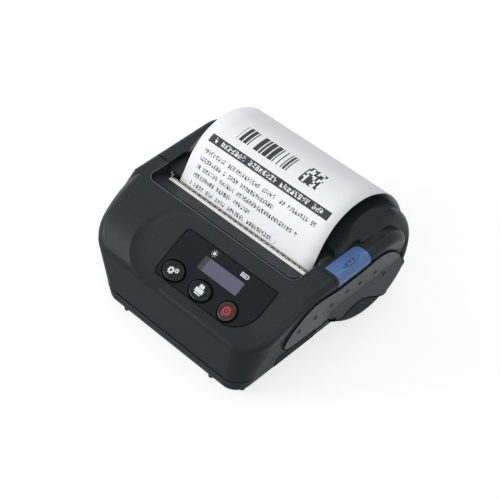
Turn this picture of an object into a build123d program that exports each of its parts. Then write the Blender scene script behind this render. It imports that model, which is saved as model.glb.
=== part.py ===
from build123d import *
import math
import os

# Portable label printer, millimetres, +Z up, origin under the middle of its casing.
# -Y is the front with the control panel, +X the side with the blue lever, +Y the hinge.

os.makedirs("parts", exist_ok=True)

# Label stock
label_width = 79.5
label_thick = 0.2
roll_r = 20.0
core_r = 8.5
core_bore_r = 6.5
media_x = 1.5  # the label path stands this far right of the middle

# Casing outline
floor_z = 1.5  # underside of the wedge-shaped front
top_z = 50.0
front_y = -52.5
crease_z = 32.7  # where the front wall meets the sloping panel
rim_y = -19.4  # front rim of the paper trough
base_half = 42.0
top_half = 56.6  # half width where side and top would meet without the round
base_corner = 8.0
top_corner = 17.0
shoulder_round = 3.5
crease_round = 2.0
sole_round = 3.5
shoulder_r = 21.5  # the shoulder's drop behind the lever
wall = 2.2
gap = 0.35  # between parts that move past each other
joint_line = 0.25  # visible line between fixed mouldings
under_dish = 2.0  # hollow of the moulding's inside under the sloping panel
crown = 3.0  # bulge of the left cheek above the sloping panel
cheek_round = 6.0
bank_x = -5.0  # middle of the round bank between the panel and the left cheek
bank_drop = 21.0
bank_flat = 19.5
bank_r = 8.0

# Roll barrel
barrel_y = 24.0
barrel_z = 28.5
barrel_r = 28.5
barrel_half = 48.5
barrel_round = 5.0
barrel_flat_z = 1.2
scoop_x = barrel_half + 2.0
scoop_y = 31.0
scoop_floor_z = 49.5
scoop_r = 9.5
scoop_sweep_r = 60.0

# Joint lines of the mouldings
seam_front_z = 9.3
seam_side_z = 15.2
lid_front_y = -6.0
lid_side_z = 43.9
lever_end_y = 15.0
lid_heel_y = 45.5
lid_heel_z = 21.0
hinge_y = 50.4
hinge_z = 20.5
hinge_pin_r = 1.0
knuckle_r = 2.1
knuckle_x = 31.5
knuckle_half = 1.5
hinge_relief_r = 1.6  # lets the lid's lower edge swing past the rear wall

# Control panel, measured down the slope from the trough rim
plate_left = -12.6
plate_right = 41.0
plate_top = 7.4
plate_bottom = 31.4
plate_thick = 1.0
plate_pocket = 0.8
plate_corner = 2.6
plate_sweep = 13.0
button_pitch = 16.25
button_first_x = -4.4
button_drop = 26.2
button_wide = 11.4
button_tall = 8.6
button_rise = 1.1
button_travel = 0.7
button_gap = 0.4
stem_r = 1.5
stem_end = 4.2
lens_r = 2.9
display_x = 14.7
display_drop = 15.8
display_wide = 23.3
display_tall = 6.6
key_board_drop = 5.8
key_board_thick = 1.2
plate_wall = 3.0  # moulding left under the control plate

# Paper trough and tear bar
trough_half = 41.5  # slot and tear bar
trough_left = 45.8
trough_right = 43.2
trough_rear_half = 45.5
trough_floor_z = 45.0
trough_rear_y = 5.5
trough_corner = 3.5
trough_skin = 1.3
tear_y = -8.6
tear_thick = 0.8
tear_wide = 1.7
tooth_pitch = 1.25
tooth_reach = 0.9

# Print mechanism
platen_y = -1.2
platen_z = 39.0
platen_r = 5.0
platen_shaft_r = 2.0
bush_r = 3.0
fit = 0.05  # running fit between shaft and bore
frame_thick = 1.0
frame_base_z = 25.0
frame_top_z = 42.6
frame_front_y = -17.0
ear_out = 2.0  # cradle cheek to frame ear
head_face_y = -6.95
head_thick = 3.0
head_pivot_y = -9.4
head_pivot_z = 30.5
head_pivot_r = 1.5
motor_y = -26.5
motor_z = 30.6
motor_r = 9.0
motor_long = 17.0
module = 0.5
pinion_teeth = 14
big_teeth = 36
small_teeth = 34
platen_teeth = 22
gear_wide = 1.6

# Roll cradle
cradle_r = 24.6
cradle_thick = 1.4
cheek_side = 0.6  # label edge to cheek
cheek_thick = 1.4
cheek_z = 33.0
arm_thick = 1.3

# Lever
lever_wide = 9.7  # from where side and top would meet
lever_inner_x = top_half - lever_wide
lever_front_y = -4.5
lever_low_z = 43.6
lever_thick = 2.4
lever_corner = 3.5
lever_pin_r = 0.7
lever_pin_x = lever_inner_x + 1.1
lever_pin_z = 48.8
catch_y = 6.0
catch_z = 40.5
catch_r = 1.0

# Side panels, ports, battery
panel_proud = 0.8
panel_sink = 0.8
panel_share = 0.988  # panel outline against its recess
port_front_y = -29.5
port_rear_y = -5.5
port_low_z = 3.9
port_high_z = 11.9
battery_left = -30.0
battery_right = 24.0
battery_front = -45.0
battery_rear = -9.4
battery_high_z = 17.0
battery_gap = 0.4
bay_wall = 1.5
board_z = 20.0
board_thick = 1.4
screw_x = 35.5
screw_front_y = -45.5
screw_rear_y = -6.0
screw_r = 1.2
mount_x = 37.5
boss_r = 2.9
nub_spots = ((-29.4, -50.0), (25.1, -50.0), (39.3, -45.4), (-39.3, -45.4))
nub_r = 1.3

slope = math.atan2(top_z - crease_z, rim_y - front_y)
slope_long = math.hypot(top_z - crease_z, rim_y - front_y)
panel_normal = (0, -math.sin(slope), math.cos(slope))
media_left = media_x - label_width / 2
media_right = media_x + label_width / 2
cheek_left = media_left - cheek_side
cheek_right = media_right + cheek_side
ear_left = cheek_left - cheek_thick - ear_out / 2
ear_right = cheek_right + cheek_thick + ear_out / 2
roll_z = barrel_z - cradle_r + roll_r + gap


def panel(depth=0.0):
    """Plane of the sloping control panel, depth below its surface, y up the slope."""
    drop = Vector(*panel_normal) * -depth
    origin = Vector(0, rim_y, top_z) + drop
    return Plane(origin=origin, x_dir=(1, 0, 0), z_dir=panel_normal)


def keep(part, name):
    part.label = name
    export_step(part, "parts/" + name + ".step")


def slab(x_range, y_range, z_range):
    """A block between two limits on each axis."""
    with BuildPart(Plane.XY.offset(z_range[0])) as block:
        with BuildSketch(Plane.XY.offset(z_range[0])):
            with Locations(((x_range[0] + x_range[1]) / 2, (y_range[0] + y_range[1]) / 2)):
                Rectangle(x_range[1] - x_range[0], y_range[1] - y_range[0])
        extrude(amount=z_range[1] - z_range[0])
    return block.part


def rod(x_range, y, z, radius, bore=0.0):
    """A round bar along X, with a bore when one is given."""
    with BuildPart() as bar:
        with BuildSketch(Plane.YZ.offset(x_range[0])):
            with Locations((y, z)):
                Circle(radius)
                if bore:
                    Circle(bore, mode=Mode.SUBTRACT)
        extrude(amount=x_range[1] - x_range[0])
    return bar.part


def side_plate(points, x_range):
    """A plate cut to a side outline and spanning two values of X."""
    with BuildPart() as plate:
        with BuildSketch(Plane.YZ.offset(x_range[0])):
            with BuildLine():
                Polyline(*points, close=True)
            make_face()
        extrude(amount=x_range[1] - x_range[0])
    return plate.part


# Casing surfaces
def wedge(grow, dish=0.0):
    """The tapered front and middle of the casing, moved out by grow."""
    mid = Vector(0, (front_y + rim_y) / 2, (crease_z + top_z) / 2) - Vector(*panel_normal) * dish
    with BuildSketch(Plane.YZ) as outline:
        with BuildLine():
            front = Line((front_y, floor_z), (front_y, crease_z))
            if dish:
                rise = ThreePointArc(front @ 1, (mid.Y, mid.Z), (rim_y, top_z))
            else:
                rise = Line(front @ 1, (rim_y, top_z))
            top = Line(rise @ 1, (barrel_y, top_z))
            back = JernArc(top @ 1, (1, 0), shoulder_r, -90)
            heel = Line(back @ 1, (barrel_y + shoulder_r, seam_side_z))
            sole = Line(heel @ 1, (barrel_y + barrel_round, floor_z))
            Line(sole @ 1, front @ 0)
        make_face()
        if grow:
            offset(amount=grow, kind=Kind.INTERSECTION)
    with BuildPart() as block:
        with BuildSketch(Plane.XY.offset(floor_z - grow)):
            RectangleRounded(2 * (base_half + grow), 2 * (grow - front_y), base_corner + grow)
        with BuildSketch(Plane.XY.offset(top_z + grow)):
            RectangleRounded(2 * (top_half + grow), 2 * (grow - front_y) + 1, top_corner + grow)
        loft()
        extrude(outline.sketch, amount=2 * top_half, both=True, mode=Mode.INTERSECT)
    return block.part


def barrel(grow, rounded=True):
    """The round housing of the label roll, with the lid's ramp up to its crown."""
    with BuildSketch(Plane.YZ) as outline:
        with BuildLine():
            start = (trough_rear_y - 6, top_z - 1 + grow)
            crown = (barrel_y, barrel_z + barrel_r + grow)
            ramp = Spline(start, crown, tangents=((1, 0.1), (1, 0)))
            back = CenterArc((barrel_y, barrel_z), barrel_r + grow, 90, -270)
            Line(back @ 1, ramp @ 0)
        make_face()
    with BuildPart() as drum:
        extrude(outline.sketch, amount=barrel_half + grow, both=True)
        if rounded:
            rims = [e for e in drum.edges() if abs(abs(e.center().X) - barrel_half - grow) < 0.01]
            fillet([e for e in rims if e.length > barrel_r * 0.8], barrel_round + grow)
    return drum.part


def shaped(grow, dish=0.0, shoulder=shoulder_round):
    """The wedge with its shoulders, panel crease and underside rounded."""
    with BuildPart() as block:
        add(wedge(grow, dish))
        sides = [e for e in block.edges() if abs(e.center().X) > base_half + 1]
        upper = [e for e in sides if e.center().Z > crease_z - 2 and e.center().Y < barrel_y + 8]
        front = [e for e in block.edges() if e.center().Y < front_y + 3 and e.center().Z > seam_side_z]
        crease = [e for e in front if abs(e.center().X) < 1]
        fillet(upper + crease, shoulder + grow / 2)
        low = [e for e in block.edges() if e.center().Z < floor_z - grow + 0.01]
        fillet([e for e in low if e.center().Y < barrel_y], sole_round + grow / 2)
    return block.part


# The left cheek swells above the sloping panel, with a round bank between them
bank_spot = Vector(bank_x, rim_y - bank_drop * math.cos(slope), top_z - bank_drop * math.sin(slope))
bank_plane = Plane(origin=bank_spot, x_dir=(1, 0, 0), z_dir=Vector(1, 0, 0).cross(Vector(*panel_normal)))
with BuildPart() as cheek:
    add(shaped(0, -crown, cheek_round))
    add(slab((bank_x, 70), (-60, 60), (-5, 70)), mode=Mode.SUBTRACT)
    add(slab((-70, 70), (rim_y + 2, 60), (-5, 70)), mode=Mode.SUBTRACT)
    add(slab((-70, 70), (-60, 60), (-5, crease_z - 7)), mode=Mode.SUBTRACT)
    with BuildSketch(bank_plane):
        with BuildLine():
            foot = Line((0, 0), (bank_flat, 0))
            rise = ThreePointArc(foot @ 1, (bank_flat + bank_r * 0.7071, bank_r * 0.2929),
                                 (bank_flat + bank_r, bank_r))
            Polyline(rise @ 1, (bank_flat + bank_r, 14), (0, 14), (0, 0))
        make_face()
    revolve(axis=Axis(bank_spot, panel_normal), mode=Mode.SUBTRACT)

with BuildPart() as scoop:
    with BuildSketch(Plane.XZ.offset(-scoop_y)):
        with Locations((scoop_x, scoop_floor_z + scoop_r)):
            Circle(scoop_r)
    revolve(axis=Axis((0, scoop_y, scoop_floor_z + scoop_r + scoop_sweep_r), (1, 0, 0)))
    mirror(about=Plane.YZ)
with BuildPart() as scoop_wall:
    with BuildSketch(Plane.XZ.offset(-scoop_y)):
        with Locations((scoop_x, scoop_floor_z + scoop_r)):
            Circle(scoop_r + wall)
    revolve(axis=Axis((0, scoop_y, scoop_floor_z + scoop_r + scoop_sweep_r), (1, 0, 0)))
    mirror(about=Plane.YZ)

with BuildPart() as skin:
    add(shaped(0))
    add(cheek.part)
    add(barrel(0))
    add(scoop.part, mode=Mode.SUBTRACT)
    add(slab((-60, 60), (0, 60), (-5, barrel_flat_z)), mode=Mode.SUBTRACT)
    for side in (-1, 1):
        add(slab(sorted((side * (lever_inner_x - gap), side * 60)), (lid_front_y, lever_end_y + 1.5),
                 (top_z, 60)), mode=Mode.SUBTRACT)

with BuildPart() as cavity:
    add(shaped(-wall, under_dish))
    add(barrel(-wall))
    add(scoop_wall.part, mode=Mode.SUBTRACT)
    for side in (-1, 1):
        add(slab(sorted((side * (lever_inner_x - gap - wall), side * 60)), (lid_front_y - 2, lever_end_y + 3.5),
                 (top_z - wall, 60)), mode=Mode.SUBTRACT)
    add(slab((-60, 60), (0, 60), (-5, barrel_flat_z + wall)), mode=Mode.SUBTRACT)


def lid_zone(grow):
    """Everything that belongs to the lid, moved out by grow."""
    with BuildSketch(Plane.YZ) as side:
        with BuildLine():
            front = Line((lid_front_y - grow, 80), (lid_front_y - grow, lid_side_z - grow))
            low = Spline(front @ 1, (8, 45.3 - grow), (17, 45.8 - grow), (30 - grow, 38.4 - grow),
                         (lid_heel_y - 4.5 - grow, 31), (lid_heel_y - grow, lid_heel_z - grow))
            Polyline(low @ 1, (60, lid_heel_z - grow), (60, 80), front @ 0)
        make_face()
    with BuildPart() as zone:
        extrude(side.sketch, amount=70, both=True)
    return zone.part


def tub_zone(grow):
    """Everything below the line between the two halves of the case, moved up by grow."""
    with BuildSketch(Plane.YZ) as side:
        with BuildLine():
            front = Line((-60, seam_front_z + grow), (front_y + 9, seam_front_z + grow))
            rise = Spline(front @ 1, (-30, seam_side_z + grow), tangents=((1, 0), (1, 0)))
            Polyline(rise @ 1, (lid_heel_y - 1 - grow, seam_side_z + grow), (lid_heel_y - 1 - grow, 30),
                     (60, 30), (60, -5), (-60, -5), front @ 0)
        make_face()
    with BuildPart() as zone:
        extrude(side.sketch, amount=70, both=True)
    return zone.part


def panel_prism(share):
    """The side panel's teardrop outline as a long bar, its size a share of the recess."""
    rim = ((-31, 23), (-26, 15.6), (-10, 14), (4, 11.8), (15.5, 14.6), (25, 11), (31, 7), (42, 5.2),
           (47.4, 14), (45, 22), (38.5, 31.5), (19.5, 44.3), (12, 43), (4, 42.6), (-5, 42.8), (-20, 45),
           (-28, 36), (-31, 23))
    with BuildSketch(Plane.YZ) as side:
        with BuildLine():
            Spline(*[(8 + (y - 8) * share, 27 + (z - 27) * share) for y, z in rim])
        make_face()
    with BuildPart() as bar:
        extrude(side.sketch, amount=70, both=True)
    return bar.part


with BuildPart() as side_outer:
    add(wedge(panel_proud))
    add(barrel(panel_proud))
with BuildPart() as side_inner:
    add(wedge(-panel_sink))
    add(barrel(-panel_sink))

with BuildPart() as panels:
    add(side_outer.part)
    add(side_inner.part, mode=Mode.SUBTRACT)
    add(panel_prism(panel_share), mode=Mode.INTERSECT)
    add(slab((-base_half - 0.15, base_half + 0.15), (-60, 60), (0, 60)), mode=Mode.SUBTRACT)

with BuildPart() as panel_bed:
    add(panel_prism(1))
    add(side_inner.part, mode=Mode.SUBTRACT)
    add(slab((-base_half, base_half), (-60, 60), (-10, 60)), mode=Mode.SUBTRACT)

with BuildPart() as shell:
    add(skin.part)
    add(cavity.part, mode=Mode.SUBTRACT)
    add(panel_bed.part, mode=Mode.SUBTRACT)


def pillar(x, y, z_range, radius, bore=0.0):
    """A round post along Z, with a bore when one is given."""
    with BuildPart() as post:
        with BuildSketch(Plane.XY.offset(z_range[0])):
            with Locations((x, y)):
                Circle(radius)
                if bore:
                    Circle(bore, mode=Mode.SUBTRACT)
        extrude(amount=z_range[1] - z_range[0])
    return post.part


def gear(teeth, x_range, y, z, turn, bore):
    """A spur gear on an axis along X."""
    outer = module * (teeth + 2) / 2 - 0.05
    root = module * (teeth - 2.5) / 2
    step = 2 * math.pi / teeth
    rim = []
    for tooth in range(teeth):
        for share, radius in ((-0.3, root), (-0.12, outer), (0.12, outer), (0.3, root)):
            angle = turn + (tooth + share) * step
            rim.append((y + radius * math.cos(angle), z + radius * math.sin(angle)))
    with BuildPart() as wheel:
        with BuildSketch(Plane.YZ.offset(x_range[0])):
            with BuildLine():
                Polyline(*rim, close=True)
            make_face()
            with Locations((y, z)):
                Circle(bore, mode=Mode.SUBTRACT)
        extrude(amount=x_range[1] - x_range[0])
    return wheel.part


def screw(x, y, head_z, tip_z, head_r=2.1, head_tall=1.5):
    """A screw along Z with a slotted head, its head under the joint when the tip is higher."""
    way = 1 if tip_z > head_z else -1
    with BuildPart() as bolt:
        add(pillar(x, y, sorted((head_z, head_z + way * head_tall)), head_r))
        add(pillar(x, y, sorted((head_z + way * head_tall, tip_z)), screw_r))
        low, high = sorted((head_z, head_z + way * 0.6))
        add(slab((x - head_r, x + head_r), (y - 0.3, y + 0.3), (low, high)), mode=Mode.SUBTRACT)
    return bolt.part


def ribbon(points, thick, x_range):
    """A thin strip that follows a smooth side path."""
    with BuildPart() as strip:
        with BuildSketch(Plane.YZ.offset(x_range[0])):
            with BuildLine() as path:
                Spline(*points)
            trace(path.line, line_width=thick)
        extrude(amount=x_range[1] - x_range[0])
    return strip.part


def panel_block(x_range, run, deep):
    """A block on the sloping panel: run is down the slope, deep below its surface."""
    with BuildPart() as block:
        with BuildSketch(panel(deep[1])):
            with Locations(((x_range[0] + x_range[1]) / 2, -(run[0] + run[1]) / 2)):
                Rectangle(x_range[1] - x_range[0], run[1] - run[0])
        extrude(amount=deep[1] - deep[0])
    return block.part


def panel_disc(x, run, wide, tall, deep, grow=0.0):
    """An oval or round piece on the sloping panel."""
    with BuildPart() as disc:
        with BuildSketch(panel(deep[1])):
            with Locations((x, -run)):
                Ellipse(wide / 2 + grow, tall / 2 + grow)
        extrude(amount=deep[1] - deep[0])
    return disc.part


def plate_form(grow, deep):
    """The control plate or its pocket, one corner swept wide."""
    with BuildPart() as form:
        with BuildSketch(panel(deep[1])) as plan:
            with Locations(((plate_left + plate_right) / 2, -(plate_top + plate_bottom) / 2)):
                Rectangle(plate_right - plate_left + 2 * grow, plate_bottom - plate_top + 2 * grow)
            swept = plan.vertices().group_by(Axis.X)[-1].sort_by(Axis.Y)[0]
            fillet(swept, plate_sweep)
            tight = [v for v in plan.vertices() if abs(v.X - (plate_right + plate_left) / 2) > 26]
            tight = [v for v in tight if v.Z > swept.Z + plate_sweep * 0.9 * math.sin(slope) or v.X < 0]
            fillet(tight, plate_corner)
        extrude(amount=deep[1] - deep[0])
    return form.part


buttons = (("settings_button", button_first_x, button_wide),
           ("feed_button", button_first_x + button_pitch, button_wide),
           ("power_button", button_first_x + 2 * button_pitch, button_tall))

# Control plate, window, buttons and what lies behind them
with BuildPart() as plate:
    add(plate_form(0, (plate_pocket - plate_thick, plate_pocket)))
    for label, x, wide in buttons:
        add(panel_disc(x, button_drop, wide, button_tall, (-1, 2), button_gap), mode=Mode.SUBTRACT)
    add(panel_block((display_x - display_wide / 2, display_x + display_wide / 2),
                    (display_drop - display_tall / 2, display_drop + display_tall / 2), (-1, 2)),
        mode=Mode.SUBTRACT)
keep(plate.part, "control_plate")
window = panel_block((display_x - display_wide / 2 + fit, display_x + display_wide / 2 - fit),
                     (display_drop - display_tall / 2 + fit, display_drop + display_tall / 2 - fit),
                     (plate_pocket - plate_thick, plate_pocket))
keep(window, "display_window")

flange = 0.5
flange_top = plate_wall + fit
flange_low = flange_top + 0.6
for label, x, wide in buttons:
    with BuildPart() as cap:
        add(panel_disc(x, button_drop, wide, button_tall, (-button_rise, flange_top)))
        crown = [e for e in cap.edges() if (e.center() - Vector(0, rim_y,
                                                                top_z)).dot(Vector(*panel_normal)) > 0.9]
        fillet(crown, 0.6)
        add(panel_disc(x, button_drop, wide, button_tall, (flange_top, flange_low), button_gap + flange))
        add(panel_disc(x, button_drop, 2 * stem_r, 2 * stem_r, (flange_low, stem_end + 0.1)))
        if label == "power_button":
            add(panel_disc(x, button_drop, 2 * lens_r, 2 * lens_r, (-button_rise - 1, 0.4)),
                mode=Mode.SUBTRACT)
    keep(cap.part, label)
with BuildPart() as lens:
    add(panel_disc(buttons[2][1], button_drop, 2 * lens_r, 2 * lens_r, (-button_rise, 0.4)))
    crown = [e for e in lens.edges() if (e.center() - Vector(0, rim_y,
                                                             top_z)).dot(Vector(*panel_normal)) > 0.9]
    fillet(crown, 0.5)
keep(lens.part, "power_lens")

with BuildPart() as key_board:
    add(panel_block((-12.5, 41), (8.5, 31.5), (key_board_drop, key_board_drop + key_board_thick)))
    for x in (-9, 37.5):
        add(panel_disc(x, 12.5, 2 * screw_r, 2 * screw_r, (5, 8), fit), mode=Mode.SUBTRACT)
    add(pillar(screw_x, screw_front_y, (20, 40), boss_r + gap), mode=Mode.SUBTRACT)
keep(key_board.part, "key_board")
switch_top = stem_end + 0.1 + button_travel + fit
with BuildPart() as switches:
    for label, x, wide in buttons:
        add(panel_block((x - 2.6, x + 2.6), (button_drop - 2.6, button_drop + 2.6), (switch_top + 0.2,
                                                                                     key_board_drop)))
        add(panel_disc(x, button_drop, 2.4, 2.4, (switch_top, switch_top + 0.2)))
keep(switches.part, "key_switches")
with BuildPart() as module_body:
    add(panel_block((display_x - 13, display_x + 13), (display_drop - 5.2, display_drop + 5.2),
                    (plate_wall + fit, 5)))
    add(panel_block((display_x - 11.2, display_x + 11.2), (display_drop - 2.9, display_drop + 2.9),
                    (plate_pocket + fit, plate_wall + fit)))
    add(panel_block((display_x - 9, display_x + 9), (display_drop - 1.5, display_drop + 1.5),
                    (5, key_board_drop)))
keep(module_body.part, "display_module")
with BuildPart() as board_pins:
    for x in (-9, 37.5):
        add(panel_disc(x, 12.5, 2 * screw_r, 2 * screw_r, (plate_wall + 0.6,
                                                           key_board_drop + key_board_thick)))
        add(panel_disc(x, 12.5, 3.8, 3.8, (key_board_drop + key_board_thick,
                                           key_board_drop + key_board_thick + 1.1)))
keep(board_pins.part, "key_board_screws")


# Paper trough: a tray sunk in the top, shared by the case and the lid
def trough_form(grow, front_deep):
    """The trough's volume, its floor lowered and its sides moved out by grow."""
    with BuildPart() as form:
        with BuildSketch(Plane.XY.offset(40)) as plan:
            with BuildLine():
                Polyline((-trough_left, rim_y), (trough_right, rim_y), (trough_rear_half, trough_rear_y),
                         (-trough_rear_half - 0.9, trough_rear_y), close=True)
            make_face()
            fillet(plan.vertices(), trough_corner)
            if grow:
                offset(amount=grow, kind=Kind.ARC)
        extrude(amount=12)
        with BuildSketch(Plane.YZ) as floor:
            with BuildLine():
                Polyline((rim_y - 4, top_z - 0.3 - grow), (rim_y, top_z - 0.6 - grow),
                         (tear_y - tear_wide - 0.1, trough_floor_z - grow),
                         (tear_y - tear_wide - 0.1, front_deep - grow), (lid_front_y - gap / 2,
                                                                         front_deep - grow),
                         (lid_front_y - gap / 2, trough_floor_z + 1.2 - grow),
                         (trough_rear_y + 4, trough_floor_z + 2.9 - grow), (trough_rear_y + 4, 60), (rim_y - 4, 60),
                         close=True)
            make_face()
        extrude(amount=60, both=True, mode=Mode.INTERSECT)
    return form.part


bar_z = trough_floor_z - tear_thick
trough = trough_form(0, bar_z)
with BuildPart() as tray_form:
    add(trough_form(trough_skin, bar_z))
    add(skin.part, mode=Mode.INTERSECT)
tray = tray_form.part
slot_front = tear_y + 0.05
slot = slab((-trough_half - 1.2, trough_half + 1.2), (slot_front, lid_front_y), (40, top_z + 5))

def lever_block(grow, high_z):
    """The lever's block, its inner rear corner rounded, grown by the gap for its room."""
    with BuildPart() as block:
        add(slab((lever_inner_x - grow, 1.1 * top_half), (lever_front_y - grow, lever_end_y + grow),
                 (lever_low_z - grow, high_z)))
        corner = block.edges().filter_by(Axis.Z).group_by(Axis.X)[0].sort_by(Axis.Y)[-1]
        fillet(corner, lever_corner + grow)
    return block.part


lever_box = lever_block(0, top_z + 4)
lever_room = lever_block(gap, top_z + 9)
bed_box = slab((lever_inner_x - 2.4, 60), (lid_front_y, lever_end_y + 1.8), (lid_side_z - 1, top_z + 5))
with BuildPart() as lever_pocket:
    add(lever_room)
    add(wedge(-lever_thick - 0.9), mode=Mode.SUBTRACT)
with BuildPart() as lever_bed:
    add(skin.part)
    add(bed_box, mode=Mode.INTERSECT)
    add(wedge(-lever_thick - 2.3), mode=Mode.SUBTRACT)
    add(lid_zone(0), mode=Mode.INTERSECT)
hook_x = lever_inner_x + 0.1
hook_y = (4.6, 7.4)
hook_slot = slab((hook_x - 1.2, hook_x + 4.4), (hook_y[0] - gap, hook_y[1] + gap), (catch_z,
                                                                                    top_z - 2.6))

with BuildPart() as upper:
    add(shell.part)
    add(tub_zone(joint_line), mode=Mode.SUBTRACT)
    add(tray)
    for x in (-screw_x, screw_x):
        add(pillar(x, screw_front_y, (13, 32.3), boss_r))
    for x in (-9, 37.5):
        add(panel_disc(x, 12.5, 4.4, 4.4, (2, key_board_drop)))
    add(lid_zone(gap), mode=Mode.SUBTRACT)
    add(trough, mode=Mode.SUBTRACT)
    add(slot, mode=Mode.SUBTRACT)
    add(lever_room, mode=Mode.SUBTRACT)
    add(plate_form(fit, (-4, plate_pocket)), mode=Mode.SUBTRACT)
    add(panel_block((-13.5, 41.5), (6.5, 31.5), (plate_wall, 5)), mode=Mode.SUBTRACT)
    for x in (-9, 37.5):
        add(panel_disc(x, 12.5, 4.4, 4.4, (2, key_board_drop)))
        add(panel_disc(x, 12.5, 2 * screw_r, 2 * screw_r, (plate_wall + 0.4, 9)), mode=Mode.SUBTRACT)
    for label, x, wide in buttons:
        add(panel_disc(x, button_drop, wide, button_tall, (-3, 6), button_gap), mode=Mode.SUBTRACT)
    add(panel_block((display_x - display_wide / 2 + 0.2, display_x + display_wide / 2 - 0.2),
                    (display_drop - display_tall / 2 + 0.2, display_drop + display_tall / 2 - 0.2), (-3, 6)),
        mode=Mode.SUBTRACT)
    for x in (-screw_x, screw_x):
        add(pillar(x, screw_front_y, (12, 22), screw_r), mode=Mode.SUBTRACT)
keep(upper.part, "upper_case")

hinge_pins_x = [(s * knuckle_x, s) for s in (-1, 1)]
with BuildPart() as lid:
    add(shell.part)
    add(tray)
    add(lever_bed.part)
    for x in (-30, 30):
        add(pillar(x, 10, (trough_floor_z + 1.1, 51.4), 2.6))
    add(lid_zone(0), mode=Mode.INTERSECT)
    add(trough, mode=Mode.SUBTRACT)
    add(lever_pocket.part, mode=Mode.SUBTRACT)
    add(hook_slot, mode=Mode.SUBTRACT)
    for x, s in hinge_pins_x:
        add(rod((x - 4.9, x + 4.9), hinge_y, hinge_z, knuckle_r + gap), mode=Mode.SUBTRACT)
        add(rod((x - knuckle_half, x + knuckle_half), hinge_y, hinge_z, knuckle_r))
        add(slab((x - knuckle_half, x + knuckle_half), (49.4, 51.2), (hinge_z, hinge_z + 3)))
        add(rod((x - 5, x + 5), hinge_y, hinge_z, hinge_pin_r + fit), mode=Mode.SUBTRACT)
    for x in (-30, 30):
        add(pillar(x, 10, (40, 50), screw_r), mode=Mode.SUBTRACT)
    with BuildSketch(Plane.XZ.offset(-lever_front_y + 1.3)):
        with Locations((lever_pin_x, lever_pin_z)):
            Circle(lever_pin_r)
    extrude(amount=-(lever_end_y - lever_front_y + 2.7), mode=Mode.SUBTRACT)
keep(lid.part, "paper_lid")

with BuildPart() as lever:
    add(skin.part)
    add(lever_box, mode=Mode.INTERSECT)
    add(wedge(-lever_thick), mode=Mode.SUBTRACT)
    add(slab((hook_x, hook_x + 1.2), hook_y, (catch_z - catch_r - 0.7, lever_pin_z - 0.4)))
    add(slab((hook_x - 0.7, hook_x), hook_y, (catch_z - catch_r - 0.7, catch_z - catch_r - 0.1)))
    with BuildSketch(Plane.XZ.offset(20)):
        with Locations((lever_pin_x, lever_pin_z)):
            Circle(lever_pin_r + fit)
    extrude(amount=-50, mode=Mode.SUBTRACT)
keep(lever.part, "release_lever")
with BuildPart() as lever_pin:
    with BuildSketch(Plane.XZ.offset(-lever_front_y + 1.3)):
        with Locations((lever_pin_x, lever_pin_z)):
            Circle(lever_pin_r)
    extrude(amount=-(lever_end_y - lever_front_y + 2.7))
keep(lever_pin.part, "lever_pin")


with BuildPart() as side_parts:
    add(panels.part)
    add(lever_room, mode=Mode.SUBTRACT)
    for side in (-1, 1):
        near, far = sorted((side * 40, side * 60))
        add(slab((near, far), (-3.5, 2.5), (12.6, 14.6)), mode=Mode.SUBTRACT)
right_panel = side_parts.part.solids().sort_by(Axis.X)[-1]
left_panel = side_parts.part.solids().sort_by(Axis.X)[0]
keep(right_panel, "side_panel_right")
keep(left_panel, "side_panel_left")

# Lower case: bay for the battery, port flap recess, rear hinge
bay_x = (battery_left - battery_gap, battery_right + battery_gap)
bay_y = (battery_front - battery_gap, battery_rear + battery_gap)
bay_z = battery_high_z + battery_gap
port_x = (26.5, 39.0)
port_y = (-26.0, -10.0)
port_board_z = 4.6
usb_y = -21.0
usb_half = 4.2
usb_z = (5.8, 9.0)
jack_y = -13.2
jack_r = 2.9
jack_z = 8.6
latch_half = 6.0
latch_y = (-48.6, -45.7)
cover_x = 46.4
with BuildPart() as flap_band:
    add(wedge(0))
    add(wedge(-1.3), mode=Mode.SUBTRACT)
    add(slab((30, 60), (port_front_y, port_rear_y), (port_low_z, port_high_z)), mode=Mode.INTERSECT)
keep(flap_band.part, "port_cover")

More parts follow.
